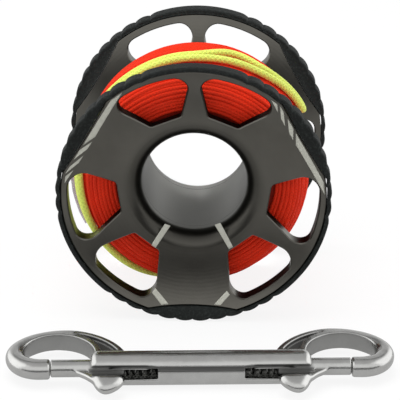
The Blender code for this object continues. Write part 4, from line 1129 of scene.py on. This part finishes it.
def build_snap_body(looks, material):
    """The cast frame: hooks and gussets grown into a slotted, bored barrel."""
    step = looks.skin_step
    x, y, z = grid_axes(*SNAP_GRID, step)
    low = np.array((x[0], y[0], z[0]))
    along = np.abs(x)
    x3, y3, z3 = along[:, None, None], y[None, :, None], z[None, None, :]
    outer, eye, shut_eye = hook_outlines()
    nose_top = shut_eye[0].y
    outer, eye, shut_eye = (outline_distance(outline, along, y) for outline in (outer, eye, shut_eye))
    height = np.abs(z3) - SNAP_HALF_THICKNESS
    share = smooth_share(x3, *HOOK_ROUNDS_AT)
    rounding = looks.gusset_round + (looks.hook_round - looks.gusset_round) * share
    crisp = cut_out(plate_field(outer, height, rounding), eye, EDGE_ROUND)
    # The nose is round all along, and its end is cut off square
    full = plate_field(np.maximum(outer, -shut_eye), height, looks.hook_round)
    full = cut_out(full, np.maximum(x3 - NOSE_TIP, y3 - nose_top - NOSE_END_CLEARANCE), NOSE_END_ROUND)
    # The eye's edge is crisp over the top and rounds off fully toward the nose
    toward_nose = smooth_share(-y3, *NOSE_FALLS_AT) * smooth_share(x3, *NOSE_STARTS_AT)
    field = crisp + (full - crisp) * toward_nose
    recess = plate_field(outline_distance(pocket_outline(), along, y), -(height + POCKET_DEPTH), EDGE_ROUND)
    field = cut_out(field, recess, EDGE_ROUND)

    from_axis = np.hypot(y3, z3)
    barrel = plate_field(from_axis - BARREL_RADIUS, x3 - BARREL_HALF_LENGTH, BARREL_NOSE_FILLET)
    # Below the groove the front of the barrel is square
    middle_z, half_z = (FRONT_FACE_TOP - FRONT_FACE_FOOT) / 2, (FRONT_FACE_TOP + FRONT_FACE_FOOT) / 2
    block = plate_field(
        np.abs(y3 + BARREL_FLAT / 2) - BARREL_FLAT / 2, np.abs(z3 - middle_z) - half_z, BLOCK_ROUND
    )
    block = plate_field(block, x3 - BARREL_HALF_LENGTH, BLOCK_END_ROUND)
    field = blend_out(field, blend_out(barrel, block, FLAT_ROUND), looks.casting_round)
    field = cut_out(field, y3 + BARREL_FLAT, FLAT_ROUND)
    # Nothing cut in the barrel reaches the hook's nose
    beyond = x3 - BARREL_HALF_LENGTH - BORE_OVERRUN
    bore = common(from_axis - BOLT_RADIUS - BOLT_FIT, BARREL_WEB_HALF - x3, beyond)
    field = cut_out(field, bore, BORE_EDGE_ROUND)
    opening = SLOT_HALF_HEIGHT + SLOT_FLARE * (x3 - SLOT_INNER_END) / (BARREL_HALF_LENGTH - SLOT_INNER_END)
    slot = common(SLOT_INNER_END - x3, -z3 - opening, z3 - opening - SLOT_RAISED, beyond, y3)
    field = cut_out(field, slot, SLOT_EDGE_ROUND)
    narrow = smooth_share(x3, *GROOVE_NARROWS_AT)
    half_width = GROOVE_HALF_WIDTH + (GROOVE_NARROW_HALF - GROOVE_HALF_WIDTH) * narrow
    aside = GROOVE_ANGLE + (GROOVE_NARROW_ANGLE - GROOVE_ANGLE) * narrow - GROOVE_LEAN
    # Its flat floor faces the dim front of the room, a little below the bar
    across = y3 * math.sin(GROOVE_LEAN) + z3 * math.cos(GROOVE_LEAN) - BARREL_RADIUS * np.sin(aside)
    deep = z3 * math.sin(GROOVE_LEAN) - y3 * math.cos(GROOVE_LEAN)
    deep = BARREL_RADIUS * np.cos(aside) - GROOVE_DEPTH - deep
    groove = plate_field(np.abs(across) - half_width, deep, GROOVE_FLOOR_ROUND)
    field = cut_out(field, groove, GROOVE_EDGE_ROUND)
    mesh = skin("snap_casting", field, low, step)
    # Dull skin with painted shade where shade falls: the recesses in full, and the eye's far wall in part
    points = vertex_points(mesh)
    spots = (points - low) / step
    recess_shade = 1 - smooth_share(sampled(np.minimum(recess, groove), spots), *RECESS_SHADE_FADE)
    eye_wall_shade = 1 - smooth_share(np.abs(sampled(np.broadcast_to(eye, field.shape), spots)), *EYE_WALL_SHADE_FADE)
    eye_wall_shade *= EYE_WALL_SHADE * smooth_share(points[:, 1], *EYE_WALL_SHADE_STARTS_AT)
    mark_dull_and_shaded(mesh, np.maximum(recess_shade, eye_wall_shade))
    finish_piece("snap_casting", mesh, "snap", material, ["snap_body"])


def knob_outline():
    """The rounded, bulging triangle of the thumb knob, in plan."""
    inner, far = KNOB_OUTER_END - KNOB_LENGTH, KNOB_OUTER_REACH - KNOB_INNER_REACH
    knots = [(inner + KNOB_LENGTH * along, -KNOB_INNER_REACH - far * reach) for along, reach in KNOB_KNOTS]
    return smooth_row(knots, 90)[:-1]


def neck_outline():
    """The curved neck that carries the knob from the bolt, in plan."""
    thick, root, bolt = NECK_THICKNESS, NECK_ROOT, -BOLT_RADIUS
    end, knob = KNOB_OUTER_END, -KNOB_INNER_REACH
    outer = (
        (root, bolt / 2), (root - NECK_ROOT_LENGTH / 3, bolt - thick / 4), (end + thick, knob + thick / 8),
        (end, knob - thick), (end - thick, knob - 2 * thick),
    )
    inner = (
        (end - thick, knob - thick / 4), (end + thick / 4, bolt - thick / 2),
        (root - NECK_ROOT_LENGTH, bolt / 2),
    )
    return smooth_row(outer, 24) + smooth_row(inner, 14)


def build_bolt(side, hand, looks, material):
    """A bolt with its cast neck and pillowy thumb knob."""
    step = looks.skin_step * BOLT_STEP
    x, y, z = grid_axes(*BOLT_GRID, step)
    x3, y3, z3 = x[:, None, None], y[None, :, None], z[None, None, :]
    tip = NOSE_TIP - GATE_GAP
    half, centre = (tip - BOLT_INNER_END) / 2, (tip + BOLT_INNER_END) / 2
    field = plate_field(np.hypot(y3, z3) - BOLT_RADIUS, np.abs(x3 - centre) - half, EDGE_ROUND)
    neck = outline_distance(neck_outline(), x, y)
    neck = plate_field(neck, np.abs(z3 + NECK_DROP) - NECK_THICKNESS / 2, NECK_ROUND)
    field = blend_out(field, neck, NECK_ROUND)
    # The knob leans down from its far edge, so its distances are looked up in its own plane
    lean_y, lean_z = y3 + KNOB_INNER_REACH, z3 + KNOB_DROP
    own_y = lean_y * math.cos(KNOB_TILT) + lean_z * math.sin(KNOB_TILT) - KNOB_INNER_REACH
    own_z = lean_z * math.cos(KNOB_TILT) - lean_y * math.sin(KNOB_TILT)
    flat = outline_distance(knob_outline(), x, y)[:, :, 0]
    place = np.clip((own_y[0] - y[0]) / step, 0, len(y) - 1.001)
    base = place.astype(int)
    knob = flat[:, base] * (1 - (place - base)) + flat[:, base + 1] * (place - base)
    # Both faces swell like a pillow
    edge = np.maximum(knob / KNOB_SWELL + 1, 0)
    knob = (np.hypot(edge, own_z / KNOB_HALF_THICKNESS) - 1) * KNOB_HALF_THICKNESS
    mesh = skin(side + "_bolt", blend_out(field, knob, EDGE_ROUND), (x[0], y[0], z[0]), step)
    # The part that stays within the barrel gets dull skin and painted shade
    points = vertex_points(mesh)
    barrel_shade = 1 - smooth_share(points[:, 0], BARREL_HALF_LENGTH - 1 * MM, BARREL_HALF_LENGTH + 1 * MM)
    barrel_shade *= smooth_share(points[:, 1], -KNOB_INNER_REACH - 0.2 * MM, -KNOB_INNER_REACH + 0.8 * MM)
    mark_dull_and_shaded(mesh, BOLT_SHADE * barrel_shade)
    if hand < 0:
        normals = np.array([tuple(vertex.normal) for vertex in mesh.vertices])
        mesh.transform(Matrix.Scale(-1, 4, Vector((1, 0, 0))))
        mesh.flip_normals()
        normals[:, 0] *= -1
        mesh.normals_split_custom_set_from_vertices(normals.tolist())
    name, body = side + "_bolt", side + "_slider"
    finish_piece(name + "_steel", mesh, body, material, [name])


def build_spring(side, hand, material):
    """A return spring with closed end coils."""
    start = BARREL_WEB_HALF + SPRING_FIT + SPRING_WIRE / 2
    end = BOLT_INNER_END - SPRING_FIT - SPRING_WIRE / 2
    share = np.linspace(0, 1, SPRING_COILS * 24 + 1)
    turn = 2 * math.pi * SPRING_COILS * share
    # The end coils lie nearly flat and the middle ones share the rest
    place = start + (end - start) * (share - SPRING_CLOSING * np.sin(2 * math.pi * share))
    out = np.stack([0 * turn, np.cos(turn), np.sin(turn)], -1)
    points = out * SPRING_MEAN_RADIUS + np.stack([hand * place, 0 * turn, 0 * turn], -1)
    name, joint = side + "_spring", side + "_bolt_slide"
    mesh = tube(name, points, out, SPRING_WIRE / 2, 10)
    piece = finish_piece(name + "_wire", mesh, "snap", material, [name])
    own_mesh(piece)


# Materials


# A wave texture repeats after this many units at a scale of 1
WAVE_REPEAT = 2 * math.pi / 20


def add_node(tree, kind, links=None, **settings):
    """Adds a shader node with its settings and fills its inputs. A node in links means its first output."""
    node = tree.nodes.new("ShaderNode" + kind)
    for key, value in settings.items():
        setattr(node, key, value)
    for key, value in (links or {}).items():
        if isinstance(value, bpy.types.Node):
            value = value.outputs[0]
        if isinstance(value, bpy.types.NodeSocket):
            tree.links.new(value, node.inputs[key])
        else:
            node.inputs[key].default_value = value
    return node


def new_material(name):
    """A material with an empty node tree, and the places on its surface in metres."""
    material = bpy.data.materials.new(name)
    material.use_nodes = True
    tree = material.node_tree
    tree.nodes.clear()
    spots = add_node(tree, "TexCoord").outputs
    return material, tree, spots["Object"], spots["UV"]


def coat(tree, values, *layers):
    """Ends a tree in a surface with these values and layers of relief, each a height and its real depth."""
    normal = {}
    for height, depth in layers:
        normal = {"Normal": add_node(tree, "Bump", {"Height": height, "Distance": depth, **normal})}
    shader = add_node(tree, "BsdfPrincipled", {**values, **normal})
    add_node(tree, "OutputMaterial", {"Surface": shader})


def tint(colour, share):
    """A colour lightened or darkened by a share, as a node value."""
    return [min(max(part * (1 + share), 0.0), 1.0) for part in colour] + [1.0]


def drifting(tree, place, patch, colour, shades, gloss):
    """A colour between two shades and a roughness, which drift together over patches of a real size."""
    links = {"Vector": place, "Scale": 1 / patch, "Detail": 3.0, "Roughness": 0.6}
    patches = add_node(tree, "TexNoise", links)
    share = add_node(tree, "MapRange", {"Value": patches, "From Min": 0.3, "From Max": 0.7})
    dark, light = (tint(colour, shade) for shade in shades)
    mix = add_node(tree, "Mix", {"Factor": share, 6: dark, 7: light}, data_type="RGBA")
    rough = add_node(tree, "MapRange", {"Value": patches, "To Min": gloss[0], "To Max": gloss[1]})
    return mix.outputs[2], rough


def hard_anodised_aluminium(colour):
    """Hard-anodised aluminium, turned and then blasted: satin, with a fine grain and faint turning lines."""
    material, tree, place, _ = new_material("hard_anodised_turned_aluminium")
    base, gloss = drifting(tree, place, 14 * MM, colour, shades=(-0.10, 0.08), gloss=(0.26, 0.34))
    # The cove round the bore is darkened as painted shade
    axes = add_node(tree, "SeparateXYZ", {"Vector": place}).outputs
    flat = add_node(tree, "CombineXYZ", {"X": axes["X"], "Y": axes["Z"]})
    radius = add_node(tree, "VectorMath", {0: flat}, operation="LENGTH").outputs["Value"]
    start, end = BORE_RADIUS + 1 * MM, BORE_RADIUS + 7 * MM
    cove_shade = add_node(
        tree, "MapRange", {"Value": radius, "From Min": start, "From Max": end, "To Min": 1.0, "To Max": 0.0},
        interpolation_type="SMOOTHSTEP",
    )
    with_cove_shade = add_node(tree, "Mix", {"Factor": cove_shade, 6: base, 7: tint(colour, -0.6)}, data_type="RGBA")
    # Blasting leaves pits near 0.1 mm, drawn at 0.35 mm so that they show
    grain = add_node(tree, "TexNoise", {"Vector": place, "Scale": 1 / (0.35 * MM), "Detail": 2.0})
    # Turning lines lie 0.15 mm apart, drawn 1.2 mm apart so that they show
    links = {"Vector": place, "Scale": WAVE_REPEAT / (1.2 * MM), "Distortion": 1.5, "Detail": 1.0}
    lines = add_node(tree, "TexWave", links, wave_type="RINGS", rings_direction="Y")
    values = {"Base Color": with_cove_shade.outputs[2], "Metallic": 1.0, "Roughness": gloss}
    coat(tree, values, (lines.outputs["Fac"], 0.004 * MM), (grain, 0.012 * MM))
    return material


def vapour_blasted_aluminium(colour):
    """Clear-anodised aluminium, turned and vapour-blasted: a matte grey that takes the light round it."""
    material, tree, place, _ = new_material("vapour_blasted_clear_anodised_aluminium")
    base, gloss = drifting(tree, place, 9 * MM, colour, shades=(-0.06, 0.05), gloss=(0.40, 0.48))
    # Turning lines lie 0.1 mm apart, drawn 1 mm apart so that they show
    links = {"Vector": place, "Scale": WAVE_REPEAT / (1.0 * MM), "Distortion": 0.6}
    lines = add_node(tree, "TexWave", links, wave_type="BANDS", bands_direction="Y")
    # The blasted oxide scatters a quarter of the light, and the metal under it reflects the rest
    values = {"Base Color": base, "Metallic": 0.75, "Specular IOR Level": 0.2, "Roughness": gloss}
    coat(tree, values, (lines.outputs["Fac"], 0.010 * MM))
    return material


def moulded_rubber(colour):
    """Moulded nitrile rubber with a spark-eroded grain: matte, with pale dust flecks and a painted highlight
    on what stands proud.
    """
    material, tree, place, _ = new_material("moulded_grained_rubber")
    base, gloss = drifting(tree, place, 5 * MM, colour, shades=(-0.22, 0.25), gloss=(0.6, 0.75))
    # Proud lumps are painted paler than the notches between them, a painted highlight
    proud = add_node(tree, "NewGeometry").outputs["Pointiness"]
    proud_highlight = add_node(tree, "MapRange", {"Value": proud, "From Min": 0.5, "From Max": 0.56})
    mix = add_node(tree, "Mix", {"Factor": proud_highlight, 6: base, 7: tint(colour, 0.5)}, data_type="RGBA")
    # Dust stays in the mould grain as pale flecks
    speckle = add_node(tree, "TexNoise", {"Vector": place, "Scale": 1 / (0.7 * MM), "Detail": 2.0})
    dust = add_node(tree, "MapRange", {"Value": speckle, "From Min": 0.48, "From Max": 0.72, "To Max": 0.55})
    links = {"Factor": dust, 6: mix.outputs[2], 7: tint(colour, 4.0)}
    mix = add_node(tree, "Mix", links, data_type="RGBA")
    # Mould grain near 0.2 mm, drawn at 0.5 mm so that it shows
    grain = add_node(tree, "TexVoronoi", {"Vector": place, "Scale": 1 / (0.5 * MM)})
    values = {"Base Color": mix.outputs[2], "Specular IOR Level": 0.28, "Roughness": gloss}
    coat(tree, values, (grain, 0.09 * MM), (speckle, 0.10 * MM))
    return material


def braided_cord(name, colour, pick, shade, fuzz, relief=0.09):
    """Braided fibre: yarns cross over and under in a diagonal pattern, with a soft edge of loose fibre.

    pick is the distance between two crossings, and relief says how high the yarns stand in shares of it.
    """
    material, tree, place, length = new_material(name)
    base, gloss = drifting(tree, place, 7 * MM, colour, shades=(-shade, shade * 0.6), gloss=(0.62, 0.82))
    # Two sets of yarns lean opposite ways: each is a band across length and girth in metres
    split = add_node(tree, "SeparateXYZ", {"Vector": length}).outputs
    waves = []
    for lean in (1.0, -1.0):
        leaned = add_node(tree, "Math", {0: split["Y"], 1: lean, 2: split["X"]}, operation="MULTIPLY_ADD")
        turns = add_node(tree, "Math", {0: leaned, 1: 2 * math.pi / pick}, operation="MULTIPLY")
        waves.append(add_node(tree, "Math", {0: turns}, operation="SINE"))
    yarns = add_node(tree, "Math", {0: waves[0], 1: waves[1]}, operation="MAXIMUM")
    raised = add_node(tree, "MapRange", {"Value": yarns})
    # Between the yarns the colour is darkened as painted shade
    yarn_shade_mask = add_node(tree, "MapRange", {"Value": yarns, "From Min": -0.6, "From Max": 0.9})
    mix = add_node(tree, "Mix", {"Factor": yarn_shade_mask, 6: tint(colour, -shade * 2.2), 7: base}, data_type="RGBA")
    # Single fibres are 0.02 mm thick, drawn as fluff of 0.25 mm so that it shows
    fibre = add_node(tree, "TexNoise", {"Vector": place, "Scale": 1 / (0.25 * MM), "Detail": 2.0})
    values = {
        "Base Color": mix.outputs[2], "Specular IOR Level": 0.25, "Roughness": gloss,
        "Sheen Weight": fuzz, "Sheen Roughness": 0.4,
    }
    coat(tree, values, (raised, pick * relief), (fibre, 0.03 * MM))
    return material


def clear_shrink_tube(colour):
    """Clear heat-shrunk tube: thin, glossy and a little cloudy where it was stretched."""
    material, tree, place, _ = new_material("clear_heat_shrunk_tube")
    base, gloss = drifting(tree, place, 2.5 * MM, colour, shades=(-0.12, 0.05), gloss=(0.12, 0.34))
    ripple = add_node(tree, "TexNoise", {"Vector": place, "Scale": 1 / (1.2 * MM), "Detail": 2.0})
    values = {"Base Color": base, "Roughness": gloss, "IOR": 1.45, "Transmission Weight": 0.8}
    coat(tree, values, (ripple, 0.08 * MM))
    return material


def silver_ink(colour):
    """Pad-printed silver ink: a flat grey with fine flake that stays matte."""
    material, tree, place, _ = new_material("pad_printed_silver_ink")
    base, gloss = drifting(tree, place, 1.2 * MM, colour, shades=(-0.10, 0.06), gloss=(0.5, 0.62))
    # Metal flake is near 0.02 mm, drawn at 0.3 mm so that it shows
    flake = add_node(tree, "TexNoise", {"Vector": place, "Scale": 1 / (0.3 * MM), "Detail": 2.0})
    coat(tree, {"Base Color": base, "Metallic": 0.35, "Roughness": gloss}, (flake, 0.01 * MM))
    return material


def polished_cast_stainless(colour):
    """Cast stainless steel, tumbled and polished: bright, with the soft waves and few pits of a casting.

    Recesses, the eye's far wall and the bolts inside the barrel get a rougher, dull skin, and their colour is
    darkened as painted shade.
    """
    material, tree, place, _ = new_material("polished_cast_stainless")
    base, gloss = drifting(tree, place, 8 * MM, colour, shades=(-0.10, 0.05), gloss=(0.16, 0.30))
    dull_and_shaded_share = add_node(tree, "Attribute", attribute_name="dull_and_shaded").outputs["Fac"]
    # The marked places are darkened as painted shade, and made rougher as dull skin
    shade = add_node(tree, "Mix", {"Factor": dull_and_shaded_share, 6: base, 7: tint(colour, -0.72)}, data_type="RGBA")
    rough = add_node(tree, "Math", {0: dull_and_shaded_share, 1: 0.3, 2: gloss}, operation="MULTIPLY_ADD")
    waves = add_node(tree, "TexNoise", {"Vector": place, "Scale": 1 / (4.5 * MM), "Detail": 1.0})
    # Casting pits near 0.2 mm, drawn at 0.6 mm so that they show
    pits = add_node(tree, "TexNoise", {"Vector": place, "Scale": 1 / (0.6 * MM), "Detail": 3.0})
    values = {"Base Color": shade.outputs[2], "Metallic": 1.0, "Roughness": rough}
    coat(tree, values, (waves, 0.12 * MM), (pits, 0.012 * MM))
    return material


def drawn_steel_wire(colour):
    """Drawn stainless spring wire: bright, with fine lines along the draw."""
    material, tree, place, length = new_material("drawn_stainless_wire")
    base, gloss = drifting(tree, place, 3 * MM, colour, shades=(-0.08, 0.05), gloss=(0.24, 0.36))
    # Draw lines are finer than 0.05 mm, drawn 0.6 mm apart so that they show
    links = {"Vector": length, "Scale": WAVE_REPEAT / (0.6 * MM)}
    lines = add_node(tree, "TexWave", links, wave_type="BANDS", bands_direction="Y")
    coat(tree, {"Base Color": base, "Metallic": 1.0, "Roughness": gloss}, (lines.outputs["Fac"], 0.005 * MM))
    return material


# Operators


class SPOOL_OT_flanges(bpy.types.Operator):
    """Builds the two windowed flanges"""

    bl_idname = "spool.flanges"
    bl_label = "Flanges"

    def execute(self, context):
        looks = context.scene.spool_looks
        metal, bore = hard_anodised_aluminium(looks.anodised), vapour_blasted_aluminium(looks.tube)
        for end, hand in ENDS:
            build_flange(end + "_flange", hand, looks, metal, bore)
        return {"FINISHED"}


class SPOOL_OT_hub_tube(bpy.types.Operator):
    """Builds the tube between the flanges"""

    bl_idname = "spool.hub_tube"
    bl_label = "Hub tube"

    def execute(self, context):
        build_hub_tube(vapour_blasted_aluminium(context.scene.spool_looks.tube))
        return {"FINISHED"}


class SPOOL_OT_grip_rings(bpy.types.Operator):
    """Builds the two rubber grip rings"""

    bl_idname = "spool.grip_rings"
    bl_label = "Grip rings"

    def execute(self, context):
        looks = context.scene.spool_looks
        rubber = moulded_rubber(looks.rubber)
        for end, hand in ENDS:
            build_ring(end + "_grip_ring", hand, looks, rubber)
        return {"FINISHED"}


class SPOOL_OT_wound_line(bpy.types.Operator):
    """Winds the red line between the flanges"""

    bl_idname = "spool.wound_line"
    bl_label = "Wound line"

    def execute(self, context):
        looks = context.scene.spool_looks
        line = braided_cord("braided_nylon_line", looks.line, 1.1 * MM, shade=0.08, fuzz=0.0, relief=0.05)
        # The bulk beneath gets the line's colour darkened, a painted shadow of the outer turns
        shaded = [part * 0.45 for part in looks.line]
        core = braided_cord("shadowed_core_nylon_line", shaded, 1.1 * MM, shade=0.12, fuzz=0.1)
        build_wound_line(looks, line, core)
        return {"FINISHED"}


class SPOOL_OT_leader(bpy.types.Operator):
    """Lays the yellow leader over the winding"""

    bl_idname = "spool.leader"
    bl_label = "Leader"

    def execute(self, context):
        looks = context.scene.spool_looks
        cord = braided_cord("braided_polyester_cord", looks.cord, 1.6 * MM, shade=0.08, fuzz=0.2)
        build_leader(looks, cord)
        return {"FINISHED"}


class SPOOL_OT_line_end(bpy.types.Operator):
    """Builds the clear sleeve and the knotted end of the line in it"""

    bl_idname = "spool.line_end"
    bl_label = "Sleeve and line end"

    def execute(self, context):
        looks = context.scene.spool_looks
        knot = braided_cord("knotted_nylon_line", looks.line, 0.9 * MM, shade=0.12, fuzz=0.2)
        build_line_end(clear_shrink_tube(looks.sleeve), knot)
        return {"FINISHED"}


class SPOOL_OT_stripes(bpy.types.Operator):
    """Prints the plain stripes on the front flange"""

    bl_idname = "spool.stripes"
    bl_label = "Printed stripes"

    def execute(self, context):
        build_stripes(silver_ink(context.scene.spool_looks.ink))
        return {"FINISHED"}


class SPOOL_OT_snap_body(bpy.types.Operator):
    """Casts the snap's frame: barrel, gussets and hooks"""

    bl_idname = "spool.snap_body"
    bl_label = "Snap body"

    def execute(self, context):
        looks = context.scene.snap_looks
        build_snap_body(looks, polished_cast_stainless(looks.steel))
        return {"FINISHED"}


class SPOOL_OT_bolts(bpy.types.Operator):
    """Builds the two sliding bolts with their thumb knobs"""

    bl_idname = "spool.bolts"
    bl_label = "Bolts"

    def execute(self, context):
        looks = context.scene.snap_looks
        steel = polished_cast_stainless(looks.steel)
        for side, hand in SIDES:
            build_bolt(side, hand, looks, steel)
        return {"FINISHED"}


class SPOOL_OT_springs(bpy.types.Operator):
    """Coils the two return springs in the barrel"""

    bl_idname = "spool.springs"
    bl_label = "Springs"

    def execute(self, context):
        # The wire's colour is dark as painted shade inside the barrel
        wire = drawn_steel_wire(context.scene.snap_looks.wire)
        for side, hand in SIDES:
            build_spring(side, hand, wire)
        return {"FINISHED"}


def place_camera(scene):
    """Puts the camera where it was fitted to the photograph, from its turn, pitch and roll."""
    data = bpy.data.cameras.new("camera")
    data.lens = CAMERA_LENS
    data.sensor_width = CAMERA_SENSOR
    data.clip_end = 10.0
    camera = add_object("camera", data)
    heading, pitch, roll = (math.radians(angle) for angle in CAMERA_ANGLES)
    heading += SPOOL_TURN
    right = Vector((math.cos(heading), math.sin(heading), 0.0))
    level = Vector((-math.sin(heading), math.cos(heading), 0.0))
    forward = math.cos(pitch) * level - math.sin(pitch) * Vector((0.0, 0.0, 1.0))
    up = right.cross(forward)
    rolled_right = right * math.cos(roll) + up * math.sin(roll)
    rolled_up = up * math.cos(roll) - right * math.sin(roll)
    turn = Matrix((rolled_right, rolled_up, -forward)).transposed().to_4x4()
    camera.matrix_world = Matrix.Translation(middle("hub_tube") + Vector(CAMERA_PLACE) * MM) @ turn
    scene.camera = camera


def background_share(tree, share):
    """That share for camera, glossy and transmission rays and none for the rest, and each ray's kind."""
    rays = add_node(tree, "LightPath").outputs
    seen = rays["Is Camera Ray"]
    for other in ("Is Glossy Ray", "Is Transmission Ray"):
        seen = add_node(tree, "Math", {0: seen, 1: rays[other]}, operation="MAXIMUM")
    return add_node(tree, "Math", {0: seen, 1: share}, operation="MULTIPLY"), rays


def lay_floor():
    """Lays the white paper. It glows a little, so that it shows as white as the backdrop."""
    floor = add_object("floor", bpy.data.meshes.new("floor"))
    corners = [(-PAPER_REACH, PAPER_FRONT, 0), (PAPER_REACH, PAPER_FRONT, 0)]
    corners += [(PAPER_REACH, PAPER_REACH, 0), (-PAPER_REACH, PAPER_REACH, 0)]
    floor.data.from_pydata(corners, [], [(0, 1, 2, 3)])
    floor.location.z = -PAPER_DROP
    paper, tree, _, _ = new_material("white_paper_sweep")
    white = linear("#F4F4F4") + [1.0]
    values = {"Base Color": white, "Roughness": 0.9, "Specular IOR Level": 0.0}
    shader = add_node(tree, "BsdfPrincipled", values)
    share, rays = background_share(tree, PAPER_GLOW)
    # It is white for the camera and dimmer for metal
    links = {0: rays["Is Glossy Ray"], 1: PAPER_IN_METAL - 1, 2: 1.0}
    level = add_node(tree, "Math", links, operation="MULTIPLY_ADD")
    glow = add_node(tree, "Emission", {"Color": (1, 1, 1, 1), "Strength": level})
    mix = add_node(tree, "MixShader", {"Fac": share, 1: shader, 2: glow})
    add_node(tree, "OutputMaterial", {"Surface": mix})
    floor.data.materials.append(paper)


def fill_world(scene):
    """A plain white world for light, in which shiny metal sees a room of bands and two side boxes."""
    world = bpy.data.worlds.new("studio")
    world.use_nodes = True
    tree = world.node_tree
    tree.nodes.clear()
    share, rays = background_share(tree, 1.0)
    # The bands run from the front horizon, over the top, to the white backdrop
    place = add_node(tree, "TexCoord").outputs["Generated"]
    way = add_node(tree, "SeparateXYZ", {"Vector": place}).outputs
    front = add_node(tree, "Math", {0: way["Y"], 1: -1.0}, operation="MULTIPLY")
    over = add_node(tree, "Math", {0: way["Z"], 1: front}, operation="ARCTAN2")
    over = add_node(tree, "MapRange", {"Value": over, "From Min": 0.0, "From Max": math.pi})
    bands = add_node(tree, "ValToRGB", {"Fac": over})
    stops = bands.color_ramp.elements
    for degrees, _ in ROOM_BANDS[1:-1]:
        stops.new(degrees / 180)
    for stop, (_, level) in zip(stops, ROOM_BANDS):
        stop.color = (level, level, level, 1)
    # The softboxes stand back of the set's front, so the spool's face doesn't mirror them
    sides = add_node(tree, "Math", {0: way["X"]}, operation="ABSOLUTE")
    fades = []
    reaches = ((sides, SIDE_BOX_ASIDE, SIDE_BOX_LEVEL), (way["Y"], SIDE_BOX_BACK, 1.0))
    for value, (start, end), level in reaches:
        links = {"Value": value, "From Min": start, "From Max": end, "To Max": level}
        fades.append(add_node(tree, "MapRange", links, interpolation_type="SMOOTHSTEP"))
    sides = add_node(tree, "Math", {0: fades[0], 1: fades[1]}, operation="MULTIPLY")
    seen = bands
    for other in (sides, rays["Is Camera Ray"], rays["Is Transmission Ray"]):
        seen = add_node(tree, "Math", {0: seen, 1: other}, operation="MAXIMUM")
    ambient = add_node(tree, "Background", {"Color": (1, 1, 1, 1), "Strength": WORLD_LIGHT})
    backdrop = add_node(tree, "Background", {"Color": (1, 1, 1, 1), "Strength": seen})
    mix = add_node(tree, "MixShader", {"Fac": share, 1: ambient, 2: backdrop})
    add_node(tree, "OutputWorld", {"Surface": mix})
    scene.world = world


def hang_lamp(data, place, aim):
    """Hangs a lamp that points at its aim. The world already holds what shiny metal sees of it."""
    lamp = add_object(data.name, data)
    lamp.visible_glossy = False
    lamp.visible_camera = False
    turn = (aim - place).to_track_quat("-Z", "Y").to_matrix().to_4x4()
    lamp.matrix_world = Matrix.Translation(place) @ turn


class SPOOL_OT_studio(bpy.types.Operator):
    """Sets the camera, the white floor and the soft studio lights"""

    bl_idname = "spool.studio"
    bl_label = "Studio"

    def execute(self, context):
        scene = context.scene
        scene.view_settings.view_transform = "Standard"
        place_camera(scene)
        lay_floor()
        fill_world(scene)
        target = middle("hub_tube")
        for name, place, size, power in LAMPS:
            data = bpy.data.lights.new(name, "AREA")
            data.energy, data.size, data.shape = power, size, "DISK"
            hang_lamp(data, target + Vector(place), target)
        # A small hard light high behind the bore brightens its far end, as the backdrop does in a real set
        data = bpy.data.lights.new("bore_spot", "SPOT")
        data.energy, data.shadow_soft_size = BORE_SPOT_POWER, BORE_SPOT_RADIUS
        data.spot_size, data.spot_blend = BORE_SPOT_ANGLE, BORE_SPOT_BLEND
        hang_lamp(data, target + Vector(BORE_SPOT_PLACE), target + Vector(BORE_SPOT_AIM))
        return {"FINISHED"}


PIECE_OPERATORS = (
    SPOOL_OT_flanges,
    SPOOL_OT_hub_tube,
    SPOOL_OT_grip_rings,
    SPOOL_OT_wound_line,
    SPOOL_OT_leader,
    SPOOL_OT_line_end,
    SPOOL_OT_stripes,
    SPOOL_OT_snap_body,
    SPOOL_OT_bolts,
    SPOOL_OT_springs,
    SPOOL_OT_studio,
)


class SPOOL_PT_looks(bpy.types.Panel):
    """Lists the sizes and colours of the set, and the steps that build it"""

    bl_idname = "SPOOL_PT_looks"
    bl_label = "Finger Spool"
    bl_space_type = "VIEW_3D"
    bl_region_type = "UI"
    bl_category = "Spool"

    def draw(self, context):
        for looks in (context.scene.spool_looks, context.scene.snap_looks):
            for key in looks.__annotations__:
                self.layout.prop(looks, key)
        for operator in PIECE_OPERATORS:
            self.layout.operator(operator.bl_idname)


CLASSES = (SpoolLooks, SnapLooks) + PIECE_OPERATORS + (SPOOL_PT_looks,)


def register():
    for cls in CLASSES:
        bpy.utils.register_class(cls)
    bpy.types.Scene.spool_looks = PointerProperty(type=SpoolLooks)
    bpy.types.Scene.snap_looks = PointerProperty(type=SnapLooks)


def unregister():
    del bpy.types.Scene.snap_looks
    del bpy.types.Scene.spool_looks
    for cls in reversed(CLASSES):
        bpy.utils.unregister_class(cls)


def main():
    register()
    bpy.ops.spool.studio()
    bpy.ops.spool.flanges()
    bpy.ops.spool.hub_tube()
    bpy.ops.spool.grip_rings()
    bpy.ops.spool.wound_line()
    bpy.ops.spool.leader()
    bpy.ops.spool.line_end()
    bpy.ops.spool.stripes()
    bpy.ops.spool.snap_body()
    bpy.ops.spool.bolts()
    bpy.ops.spool.springs()


if __name__ == "__main__":
    main()
